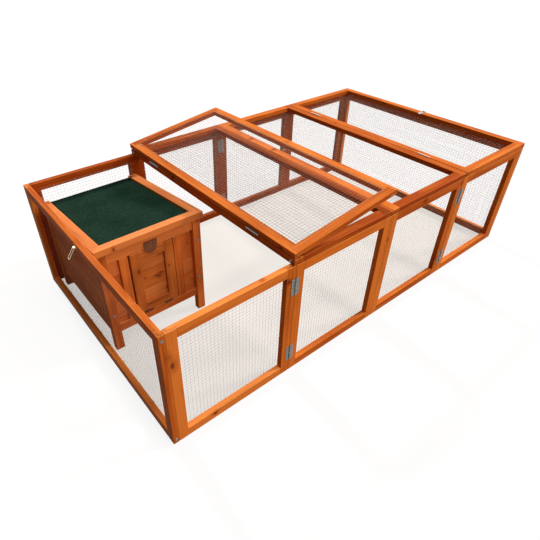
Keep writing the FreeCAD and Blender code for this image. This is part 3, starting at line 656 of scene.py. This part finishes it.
def seam_leaf(mesh, place, own_knuckles, with_pin):
    """A leaf hanging in the seam: X out to its batten, Y along the pin, Z up, the pin at the origin."""
    leaf_width, length = LID_LEAF
    knuckle_pitch = length / KNUCKLES
    tall = knuckle_pitch - KNUCKLE_GAP
    inner, lie = SEAM_HALF - LEAF_THICK, spun(-90, "X")
    for i in own_knuckles:
        foot = -length / 2 + i * knuckle_pitch + KNUCKLE_GAP / 2
        knuckle(mesh, place @ at(0, foot, 0) @ lie, tall, LID_BORE)
        plate(mesh, (inner, foot, -KNUCKLE - KNUCKLE_GAP), (SEAM_HALF, foot + tall, -LEAF_ROOT), place)
    if with_pin:
        hinge_pin(mesh, place @ at(0, -length / 2, 0) @ lie, length)
    for bare, top, finish in ((LEAF_BARE, KNUCKLE + KNUCKLE_GAP, 1), (leaf_width, LEAF_BARE, 2)):
        plate(mesh, (inner, -length / 2, -bare), (SEAM_HALF, length / 2, -top), place, finish)


for end, lid_way, top_way, rest in (("left", end_for_end, still, fold),
                                    ("right", still, end_for_end, still)):
    pin = joints[f"{end}_lid_hinge"]["pos_m"]
    fixed, moving = bmesh.new(), bmesh.new()
    for y in (run_low[1] + LID_HINGE_INSET, run_high[1] - LID_HINGE_INSET):
        seat = at(pin[0], y, pin[2])
        seam_leaf(fixed, seat @ top_way, range(0, KNUCKLES, 2), True)
        seam_leaf(moving, seat @ rest @ lid_way, range(1, KNUCKLES, 2), False)
    for mesh, node in ((fixed, f"{end}_lid_hinge_fixed"), (moving, f"{end}_lid_hinge_moving")):
        piece(f"{node}_leaves", mesh, [knuckle_highlight, dark_leaf, stained_leaf], node)

# Latches: a brass-plated barrel on a small plate, screwed to each end's top rail beside the barrel,
# a bent wire loop in the barrel, and a curled catch on the lid's edge that the loop is pulled over.
# The plate was on when the frames were stained, so only the barrel, the loop and the catch are bright.
LATCH_PLATE = (0.0012, 0.040, 0.014)
LATCH_SCREW_OUT = 0.0116
BARREL_REACH = 0.008
BARREL = (0.003, 0.0065)
BARREL_EASE = 0.1
BARREL_BORE = 0.0014
BARREL_SIDES = 24
BARREL_STRAP = 0.0009
LATCH_ARRIS = 0.0002
latch_brass = plated_steel("pale_brass_plate", (0.74, 0.66, 0.44, 1), (0.48, 0.40, 0.23, 1),
                           roughness=0.28, patch=140.0, metal=0.8)
catch_plate = plated_steel("bright_catch_plate", (0.74, 0.72, 0.68, 1), (0.5, 0.47, 0.42, 1),
                           roughness=0.26, patch=110.0)


def coat(node, material):
    """Gives its material to a solid that is shown as it is."""
    kept = frame["nodes"][node]
    kept.data.materials.clear()
    kept.data.materials.append(material)


for end, side, outward in (("left", 0, end_for_end), ("right", 1, still)):
    swing = joints[f"{end}_loop_swing"]["pos_m"]
    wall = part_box(f"{end}_end_frame")[side][0]
    seat = at(wall, swing[1], swing[2]) @ outward
    mesh = bmesh.new()
    thick, wide, tall = LATCH_PLATE
    plate(mesh, (0, -wide / 2, -tall / 2), (thick, wide / 2, tall / 2), seat, 1)
    barrel_round, barrel_wide = BARREL
    for strap in (-barrel_round, barrel_round - BARREL_STRAP):
        plate(mesh, (thick, -barrel_wide / 2, strap), (BARREL_REACH, barrel_wide / 2, strap + BARREL_STRAP),
              seat)
    roll = seat @ at(BARREL_REACH, -barrel_wide / 2, 0) @ spun(-90, "X")
    ease = barrel_round * BARREL_EASE
    rim = barrel_round - ease
    turned(mesh, roll, [(BARREL_BORE, 0), (rim, 0), (barrel_round, ease),
                        (barrel_round, barrel_wide - ease), (rim, barrel_wide),
                        (BARREL_BORE, barrel_wide), (BARREL_BORE, 0)], BARREL_SIDES)
    for y in (-LATCH_SCREW_OUT, LATCH_SCREW_OUT):
        screw = seat @ at(thick * SCREW_SINK, y, 0) @ spun(90, "Y")
        turned(mesh, screw, SCREW_HEAD, SCREW_SIDES, 2)
    piece(f"{end}_latch_base_barrel", mesh, [latch_brass, stained_leaf, screw_zinc], f"{end}_latch_base",
          LATCH_ARRIS, segments=1)
    coat(f"{end}_latch_loop", latch_brass)
    coat(f"{end}_lid_catch", catch_plate)

# Frame bolts: blued zinc bolts with low domed heads and a socket, turned from one profile.
# They go through the end panels' edges into the corners, and two stand in the second top frame's left edge.
BOLT_HEAD = 0.005
BOLT_RISE = 0.0022
BOLT_INSET = 0.019
BOLT_SIDES = 20
BOLT_SHAPE = ((1, 0), (1, 0.35), (0.86, 0.75), (0.5, 1), (0.4, 0.98), (0.36, 0.2), (0, 0.1))
bolt_steel = plated_steel("blued_bolt", (0.20, 0.26, 0.29, 1), (0.09, 0.115, 0.13, 1),
                          roughness=0.34, patch=260.0)
bolt_profile = [(BOLT_HEAD * out, BOLT_RISE * up) for out, up in BOLT_SHAPE]
out_front, out_back, out_left = spun(90, "X"), spun(-90, "X"), spun(-90, "Y")


def bolt(mesh, spot, way):
    """A bolt's head on a face, pointing the way it stands out."""
    turned(mesh, Matrix.Translation(spot) @ way, bolt_profile, BOLT_SIDES)


mesh = bmesh.new()
end_low, end_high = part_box("left_end_frame")
edge_x = (end_low[0] + end_high[0]) / 2
for x in (edge_x, -edge_x):
    for z in (BOLT_INSET, end_high[2] - BOLT_INSET):
        bolt(mesh, (x, end_low[1], z), out_front)
        bolt(mesh, (x, end_high[1], z), out_back)
top_low, top_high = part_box("top_2_frame")
for y in (top_low[1] + BOLT_INSET, top_high[1] - BOLT_INSET):
    bolt(mesh, (top_low[0], y, (top_low[2] + top_high[2]) / 2), out_left)
piece("corner_bolts", mesh, [bolt_steel], "frame_bolts")

# House legs, rails, wall boards and floor: the same softwood, knottier than the run and a little paler:
# painted light that offsets the shade the run casts on the house.
# The boards lie level with eased edges, nailed to rails and stiles that stand between the legs.
LEG = (0.032, 0.025)
ROOF_DEGREES = 6.0
SLOPE = math.tan(math.radians(ROOF_DEGREES))
RAIL_DEPTH = 0.012
SETBACK = 0.004
TOP_RAIL = 0.042
ROOF_SHADOW = 0.005
BOTTOM_RAIL = 0.036
CLEAR = 0.075
BOARD = 0.009
BOARD_ROWS = 5
BOARD_GAP = 0.001
BOARD_ARRIS = 0.0022
BOARD_RINGS = 0.009
SAWN_ARRIS = 0.0008
FRONT_STILE = 0.032
FLOOR_BOARDS = 4
DOORWAY = (0.104, 0.277)
NEAR = 0.00001
HOUSE_KNOT = (0.08, 0.021, 0.008, 1)
house_wood = [
    stained_wood("house_faces", (0.75, 0.172, 0.030, 1), (0.37, 0.062, 0.010, 1), HOUSE_KNOT,
                 knot_share=0.5, ring_width=BOARD_RINGS),
    stained_wood("house_ends", (0.36, 0.085, 0.014, 1), (0.16, 0.030, 0.006, 1), HOUSE_KNOT,
                 knot_share=0.0, ring_width=END_RING_WIDTH),
    # Eased edges are paler than the faces: rubbed wear, with a painted highlight along them
    stained_wood("house_arrises", (0.76, 0.200, 0.038, 1), (0.40, 0.078, 0.013, 1), HOUSE_KNOT,
                 knot_share=0.3),
]
house_low, house_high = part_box("house_legs")
house = at(house_low[0], house_low[1], 0)
house_wide = house_high[0] - house_low[0]
house_deep = house_high[1] - house_low[1]
house_tall = house_high[2]
back_tall = house_tall - house_deep * SLOPE


def sloped(top):
    """Lets the points at a batten's top follow the roof's slope."""
    def lower(spot):
        return Vector((spot[0], spot[1], house_tall - spot[1] * SLOPE)) if spot[2] > top - NEAR else spot
    return lower


mesh = timber_mesh()
for x in (0, house_wide - LEG[0]):
    for y in (0, house_deep - LEG[1]):
        batten(mesh, (x, y, 0), (x + LEG[0], y + LEG[1], house_tall), house, bend=sloped(house_tall))
timber_piece("house_leg_posts", mesh, house_wood, "house_legs")

inner_right, inner_back = house_wide - LEG[0], house_deep - LEG[1]
back_y = house_deep - RAIL_DEPTH
rail_head = house_tall - (SETBACK + RAIL_DEPTH) * SLOPE - TOP_RAIL
back_head = back_tall - TOP_RAIL
side_x = SETBACK + BOARD
far_side_x = house_wide - side_x - RAIL_DEPTH
stile_foot = CLEAR + BOTTOM_RAIL
mesh = timber_mesh()
for y, head in ((SETBACK, rail_head), (back_y, back_head)):
    batten(mesh, (LEG[0], y, CLEAR), (inner_right, y + RAIL_DEPTH, stile_foot), house)
    batten(mesh, (LEG[0], y, head), (inner_right, y + RAIL_DEPTH, head + TOP_RAIL - ROOF_SHADOW), house)
for x in (side_x, far_side_x):
    batten(mesh, (x, LEG[1], CLEAR), (x + RAIL_DEPTH, inner_back, stile_foot), house)
    batten(mesh, (x, LEG[1], back_head), (x + RAIL_DEPTH, inner_back, back_tall), house)
for x in (DOORWAY[0] - FRONT_STILE, DOORWAY[1]):
    batten(mesh, (x, SETBACK, stile_foot), (x + FRONT_STILE, SETBACK + RAIL_DEPTH, rail_head), house)
timber_piece("house_rail_set", mesh, house_wood, "house_rails")

mesh = timber_mesh()
board_step = (back_tall - CLEAR) / BOARD_ROWS
front_board_y = SETBACK + RAIL_DEPTH
for row in range(BOARD_ROWS):
    foot = CLEAR + row * board_step + BOARD_GAP / 2
    top = foot + board_step - BOARD_GAP
    last = row == BOARD_ROWS - 1
    front_top = top + (house_deep - front_board_y - BOARD) * SLOPE if last else top
    for x_low, x_high in ((LEG[0], DOORWAY[0]), (DOORWAY[1], inner_right)):
        batten(mesh, (x_low, front_board_y, foot), (x_high, front_board_y + BOARD, front_top), house)
    batten(mesh, (LEG[0], back_y - BOARD, foot), (inner_right, back_y, top), house)
    for x in (SETBACK, house_wide - SETBACK - BOARD):
        rise = sloped(top) if last else None
        batten(mesh, (x, LEG[1], foot), (x + BOARD, inner_back, top), house, bend=rise)
timber_piece("house_boarding", mesh, house_wood, "house_wall_boards", BOARD_ARRIS)

mesh = timber_mesh()
floor_low, floor_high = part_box("house_floor")
floor_step = (floor_high[1] - floor_low[1]) / FLOOR_BOARDS
for i in range(FLOOR_BOARDS):
    y = floor_low[1] + i * floor_step
    far = y + floor_step - BOARD_GAP / 2
    batten(mesh, (floor_low[0], y, floor_low[2]), (floor_high[0], far, floor_high[2]), still)
timber_piece("house_floor_boards", mesh, house_wood, "house_floor", SAWN_ARRIS)

# House door: a planed frame with three level boards nailed behind it, dropping on hinges under its foot.
# A brown moulded tab at its head laps over the rail above as a stop.
DOOR_RAIL = 0.036
DOOR_BOARDS = 3
DOOR_SLACK = 0.004
DOOR_RINGS = 0.010
# The last knot lies on the roof's front rail, which is cut from the same wood
DOOR_KNOTS = [((-0.664, -0.0363, 0.243), 0.006, LEVEL), ((-0.648, -0.0363, 0.249), 0.0045, LEVEL),
              ((-0.656, -0.0363, 0.234), 0.004, LEVEL), ((-0.712, -0.0363, 0.252), 0.0032, LEVEL),
              ((-0.7345, -0.0463, 0.297), 0.005, UPRIGHT), ((-0.6185, -0.0463, 0.272), 0.0035, UPRIGHT),
              ((-0.8112, -0.062, 0.4333), 0.0045, UPRIGHT)]
door_wood = [
    stained_wood("door_faces", (0.64, 0.162, 0.030, 1), (0.31, 0.058, 0.010, 1), HOUSE_KNOT,
                 knot_share=0.3, ring_width=DOOR_RINGS, knots=DOOR_KNOTS),
    house_wood[1],
    house_wood[2],
]
door_low, door_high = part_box("door_frame")
door_low = Vector((door_low[0] + DOOR_SLACK, door_low[1], door_low[2]))
mesh = timber_mesh()
front, back = door_low[1], door_high[1]
for x in (door_low[0], door_high[0] - DOOR_RAIL):
    batten(mesh, (x, front, door_low[2]), (x + DOOR_RAIL, back, door_high[2]), still)
for z in (door_low[2], door_high[2] - DOOR_RAIL):
    left, right = door_low[0] + DOOR_RAIL, door_high[0] - DOOR_RAIL
    batten(mesh, (left, front, z), (right, back, z + DOOR_RAIL), still)
timber_piece("door_framing", mesh, door_wood, "door_frame")

mesh = timber_mesh()
boards_low, boards_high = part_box("door_boards")
boards_left = boards_low[0] + DOOR_SLACK
door_step = (boards_high[2] - boards_low[2] + BOARD_GAP) / DOOR_BOARDS
for row in range(DOOR_BOARDS):
    foot = boards_low[2] + row * door_step
    top = foot + door_step - BOARD_GAP
    batten(mesh, (boards_left, boards_low[1], foot), (boards_high[0], boards_high[1], top), still)
timber_piece("door_boarding", mesh, door_wood, "door_boards", BOARD_ARRIS)

TAB_ROUND, TAB_STEPS = 0.034, 24
TAB_ARRIS = 0.0006
TAB_SCUFF_RATE, TAB_GRIT_RATE = (120.0, 120.0, 40.0), 900.0
TAB_GLOSS = 0.12
TAB_BUMP, TAB_DEPTH = 0.15, 0.0002
TAB_BROWN, TAB_SCUFFED = (0.155, 0.052, 0.020, 1), (0.235, 0.085, 0.034, 1)
SCUFF_SHADE, SCUFF_SPAN, TAB_ROUGHNESS = (0.35, 0.75), (0.3, 0.7), (0.38, 0.6)
tab_low, tab_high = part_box("door_tab")
brown, tree, surface = new_material("brown_moulding")
spot = add(tree, "ShaderNodeTexCoord").outputs["Object"]
scuff = noise(tree, stretched(tree, spot, TAB_SCUFF_RATE), 1.0, 3.0)
fill(tree, surface, {
    "Base Color": tint(tree, fade(tree, scuff, *SCUFF_SHADE), TAB_BROWN, TAB_SCUFFED),
    "Roughness": fade(tree, scuff, *SCUFF_SPAN, *TAB_ROUGHNESS), "Specular IOR Level": TAB_GLOSS,
    "Normal": bump(tree, noise(tree, spot, TAB_GRIT_RATE), TAB_BUMP, TAB_DEPTH)})
mesh = bmesh.new()
outline = [Vector((tab_low[0], tab_low[1], tab_high[2])), Vector((tab_high[0], tab_low[1], tab_high[2]))]
tab_middle, tab_half = (tab_low[0] + tab_high[0]) / 2, (tab_high[0] - tab_low[0]) / 2
for step in range(TAB_STEPS + 1):
    angle = math.pi * step / TAB_STEPS
    outline.append(Vector((tab_middle + tab_half * math.cos(angle), tab_low[1],
                           tab_low[2] + TAB_ROUND * (1 - math.sin(angle)))))
tab_face = mesh.faces.new([mesh.verts.new(corner) for corner in outline])
grown = bmesh.ops.extrude_face_region(mesh, geom=[tab_face])
for part in grown["geom"]:
    if isinstance(part, bmesh.types.BMVert):
        part.co.y = tab_high[1]
bmesh.ops.recalc_face_normals(mesh, faces=list(mesh.faces))
piece("door_stop_tab", mesh, [brown], "door_tab", TAB_ARRIS)
# Door and roof hinges are drawn in a very dark grey
dark_zinc = plated_steel("dark_grey_zinc", (0.06, 0.052, 0.046, 1), (0.03, 0.026, 0.023, 1),
                         roughness=0.5, patch=200.0, metal=0.3, gloss=0.2)
coat("door_hinge_fixed", dark_zinc)
coat("door_hinge_moving", dark_zinc)

# House roof: three planed rails, mitred at the front corners, round a board with green mineral felt on it.
# It slopes down to hinges at the back legs, and the felt lies below the rails' tops.
ROOF_RAIL = 0.035
ROOF_THICK = 0.024
ROOF_SEAT = 0.0004
ROOF_SIDE = 0.008
ROOF_FRONT = 0.012
FELT_DROP = 0.009
FELT_THICK = 0.002
ROOF_BOARD = 0.009
roof_joint = joints["house_roof_hinge"]
roof = at(house_low[0], roof_joint["pos_m"][1], roof_joint["pos_m"][2])
roof = roof @ spun(-ROOF_DEGREES, "X")
roof_left, roof_right = -ROOF_SIDE, house_wide + ROOF_SIDE
roof_back = -KNUCKLE
roof_front = roof_back - (house_deep + ROOF_FRONT) / math.cos(math.radians(ROOF_DEGREES))
roof_foot, roof_top = ROOF_SEAT, ROOF_SEAT + ROOF_THICK
mesh = timber_mesh()


def mitred(spot):
    """Draws in the front rail's inner edge to 45 degrees at both ends."""
    inward = spot[1] - roof_front
    x = spot[0] + inward if spot[0] < roof_left + NEAR else spot[0] - inward
    return Vector((x, spot[1], spot[2]))


def mitred_side(outer):
    """Sets back a side rail's inner edge at its front end."""
    def draw_in(spot):
        inward = abs(spot[0] - outer) if spot[1] < roof_front + NEAR else 0
        return Vector((spot[0], spot[1] + inward, spot[2]))
    return draw_in


batten(mesh, (roof_left, roof_front, roof_foot), (roof_right, roof_front + ROOF_RAIL, roof_top), roof,
       bend=mitred)
batten(mesh, (roof_left, roof_front, roof_foot), (roof_left + ROOF_RAIL, roof_back, roof_top), roof,
       bend=mitred_side(roof_left))
batten(mesh, (roof_right - ROOF_RAIL, roof_front, roof_foot), (roof_right, roof_back, roof_top), roof,
       bend=mitred_side(roof_right))
timber_piece("roof_rails", mesh, door_wood, "roof_frame")

mesh = timber_mesh()
felt_foot = roof_top - FELT_DROP - FELT_THICK
deck_left, deck_right, deck_front = roof_left + ROOF_RAIL, roof_right - ROOF_RAIL, roof_front + ROOF_RAIL
batten(mesh, (deck_left, deck_front, felt_foot - ROOF_BOARD), (deck_right, roof_back, felt_foot), roof)
timber_piece("roof_deck", mesh, house_wood, "roof_board", SAWN_ARRIS)

FELT_CELLS = 28
FELT_BODY = 0.9
FELT_SWELL, FELT_JITTER = 0.0004, 0.0003
SWELL_RATES = (17, 5, 11)
GRANULE_RATE, CLUMP_RATE, WEAR_RATE = 480.0, 210.0, 9.0
GRANULE_SHARE, CLUMP_SHARE, WEAR_SHARE = 0.35, 0.65, 0.5
FELT_BUMP, FELT_DEPTH = 0.5, 0.0008
FELT_DARK, FELT_PALE = (0.004, 0.014, 0.0085, 1), (0.022, 0.050, 0.033, 1)
FELT_WORN = (0.005, 0.016, 0.010, 1)
CLUMP_SPAN, WEAR_SPAN, FELT_ROUGHNESS = (0.3, 0.7), (0.4, 0.75), (0.78, 0.95)
felt, tree, surface = new_material("green_mineral_felt")
spot = add(tree, "ShaderNodeTexCoord").outputs["Object"]
granule = add(tree, "ShaderNodeTexVoronoi", {"Vector": spot, "Scale": GRANULE_RATE})
granule_pick = add(tree, "ShaderNodeSeparateColor", {0: granule.outputs["Color"]}).outputs[0]
worn = noise(tree, spot, WEAR_RATE, 3.0)
clump = fade(tree, noise(tree, spot, CLUMP_RATE, 2.0, 0.7), *CLUMP_SPAN, 0.0, CLUMP_SHARE)
coarse = calc(tree, "MULTIPLY_ADD", granule_pick, GRANULE_SHARE, clump)
colour = tint(tree, coarse, FELT_DARK, FELT_PALE)
colour = tint(tree, fade(tree, worn, *WEAR_SPAN, 0.0, WEAR_SHARE), colour, FELT_WORN)
fill(tree, surface, {
    "Base Color": colour, "Roughness": fade(tree, granule_pick, 0.0, 1.0, *FELT_ROUGHNESS),
    "Specular IOR Level": 0.0, "Normal": bump(tree, coarse, FELT_BUMP, FELT_DEPTH)})
mesh = bmesh.new()
rows = []
for j in range(FELT_CELLS + 1):
    row = []
    for i in range(FELT_CELLS + 1):
        x = deck_left + (deck_right - deck_left) * i / FELT_CELLS
        y = deck_front + (roof_back - deck_front) * j / FELT_CELLS
        edge = i in (0, FELT_CELLS) or j in (0, FELT_CELLS)
        wave = math.sin(SWELL_RATES[0] * x + SWELL_RATES[1] * y) * math.sin(SWELL_RATES[2] * y)
        swell = 0 if edge else FELT_SWELL * wave + chance.uniform(0, FELT_JITTER)
        row.append(mesh.verts.new(roof @ Vector((x, y, felt_foot + FELT_THICK + swell))))
    rows.append(row)
for j in range(FELT_CELLS):
    for i in range(FELT_CELLS):
        mesh.faces.new((rows[j][i], rows[j][i + 1], rows[j + 1][i + 1], rows[j + 1][i])).smooth = True
sheet = piece("roof_felt_sheet", mesh, [felt], "roof_felt")
sheet.modifiers.new("felt_thickness", "SOLIDIFY").thickness = FELT_THICK * FELT_BODY
coat("roof_hinge_fixed", dark_zinc)
coat("roof_hinge_moving", dark_zinc)

# House bolts: the same blued bolts with low domed heads, turned from one profile.
# Two stand in the face of each leg, front and back.
HOUSE_BOLTS = (0.160, 0.330)
mesh = bmesh.new()
for x in (LEG[0] / 2, house_wide - LEG[0] / 2):
    for z in HOUSE_BOLTS:
        bolt(mesh, (house_low[0] + x, house_low[1], z), out_front)
        bolt(mesh, (house_low[0] + x, house_high[1], z), out_back)
piece("house_leg_bolts", mesh, [bolt_steel], "house_bolts")

# Studio: a pale seamless floor under three soft lamps, two strong ones at the right and behind and
# a weaker, broad one in front, with faint light from all round.
# The camera stands where the photograph was taken from.
FLOOR_HALF = 30.0
FLOOR_CORNERS = ((-1, -1), (1, -1), (1, 1), (-1, 1))
FLOOR_GLOW, RUN_GLOW = 0.86, 0.8
# Inside the run's footprint the paper is creamier and glows less: painted shade, warmed by light off the
# wood
PAPER, RUN_SHADE_PAPER, UNSEEN_PAPER = (0.93, 0.90, 0.87, 1), (0.92, 0.845, 0.765, 1), (0.19, 0.185, 0.18, 1)
WHITE, RUN_SHADE_GLOW = (1.0, 1.0, 1.0, 1), (0.87, 0.84, 0.80, 1)
END_EDGE, SIDE_EDGE = (-0.01, 0.02), (-0.03, 0.0)
AIR_FROM = (0.68, -0.30, 0.67)
AIR_SPAN, AIR_DIM, AIR_BRIGHT = (-0.3, 1.0), 0.03, 0.80
LAMP_COLOUR = (1.0, 0.985, 0.96)
# Each lamp's strength, and its breadth, height and way round from the front in degrees
LAMPS = (("right_lamp", 2.05, 7, 32, 74), ("back_lamp", 2.2, 6, 44, 176), ("front_lamp", 0.95, 20, 34, 14))


def looked_at(tree):
    """1 for rays that show the backdrop itself, 0 for those it only lights."""
    seen = add(tree, "ShaderNodeLightPath").outputs
    mirrored = calc(tree, "MAXIMUM", seen["Is Glossy Ray"], seen["Is Transmission Ray"])
    return calc(tree, "MAXIMUM", seen["Is Camera Ray"], mirrored)


mesh = bmesh.new()
mesh.faces.new([mesh.verts.new((x * FLOOR_HALF, y * FLOOR_HALF, 0)) for x, y in FLOOR_CORNERS])
shape = bpy.data.meshes.new("studio_floor")
mesh.to_mesh(shape)
mesh.free()
studio_floor = placed("studio_floor", shape)
paper, tree, surface = new_material("pale_paper")
shown = looked_at(tree)
here = add(tree, "ShaderNodeTexCoord").outputs["Object"]
along_run, across_run, _ = add(tree, "ShaderNodeSeparateXYZ", {0: here}).outputs
# 0 within the run's footprint, where the painted shade lies, 1 outside
past_end, past_side = (
    fade(tree, calc(tree, "ABSOLUTE", place), edge + rim[0], edge + rim[1])
    for place, edge, rim in ((along_run, run_high[0], END_EDGE), (across_run, run_high[1], SIDE_EDGE)))
outside = calc(tree, "MAXIMUM", past_end, past_side)
paper_colour = tint(tree, shown, UNSEEN_PAPER, tint(tree, outside, RUN_SHADE_PAPER, PAPER))
fill(tree, surface, {"Base Color": paper_colour, "Roughness": 1.0, "Specular IOR Level": 0.0})
glow = add(tree, "ShaderNodeEmission", {"Color": tint(tree, outside, RUN_SHADE_GLOW, WHITE), "Strength": 1.0})
lift = calc(tree, "MULTIPLY", shown, fade(tree, outside, 0.0, 1.0, RUN_GLOW, FLOOR_GLOW))
lifted = add(tree, "ShaderNodeMixShader", {0: lift, 1: surface.outputs[0], 2: glow.outputs[0]})
fill(tree, tree.nodes["Material Output"], {"Surface": lifted.outputs[0]})
shape.materials.append(paper)

world = bpy.data.worlds.new("studio_air")
world.use_nodes = True
bpy.context.scene.world = world
tree = world.node_tree
toward = add(tree, "ShaderNodeTexCoord").outputs["Generated"]
facing = add(tree, "ShaderNodeVectorMath", {0: toward, 1: AIR_FROM}, operation="DOT_PRODUCT")
lighting = fade(tree, facing.outputs["Value"], *AIR_SPAN, AIR_DIM, AIR_BRIGHT)
air = fade(tree, looked_at(tree), 0.0, 1.0, lighting, 1.0)
fill(tree, tree.nodes["Background"], {"Color": WHITE, "Strength": air})
for name, strength, breadth, height, round_from_front in LAMPS:
    lamp = bpy.data.lights.new(name, "SUN")
    lamp.energy = strength
    lamp.angle = math.radians(breadth)
    lamp.color = LAMP_COLOUR
    placed(name, lamp).rotation_euler = (math.radians(90 - height), 0, math.radians(round_from_front))

LENS_PIXELS, FRAME_PIXELS, SENSOR, NEAREST = 459.93, 540, 36.0, 0.05
LENS_CENTRE = (239.24, 265.12)
STAND = Vector((-1.22177, -1.22801, 1.26997))
LOOK = Vector((0.48771, 0.62580, -0.60870))
ACROSS = Vector((0.78716, -0.61674, -0.00336))
lens = bpy.data.cameras.new("photo_lens")
lens.sensor_width = SENSOR
lens.lens = LENS_PIXELS / FRAME_PIXELS * SENSOR
lens.shift_x = 0.5 - LENS_CENTRE[0] / FRAME_PIXELS
lens.shift_y = LENS_CENTRE[1] / FRAME_PIXELS - 0.5
lens.clip_start = NEAREST
camera = placed("photo_camera", lens)
aim = Matrix((ACROSS, ACROSS.cross(LOOK), -LOOK)).transposed()
camera.matrix_world = Matrix.Translation(STAND) @ aim.to_4x4()
bpy.context.scene.camera = camera
bpy.context.scene.view_settings.view_transform = "Standard"
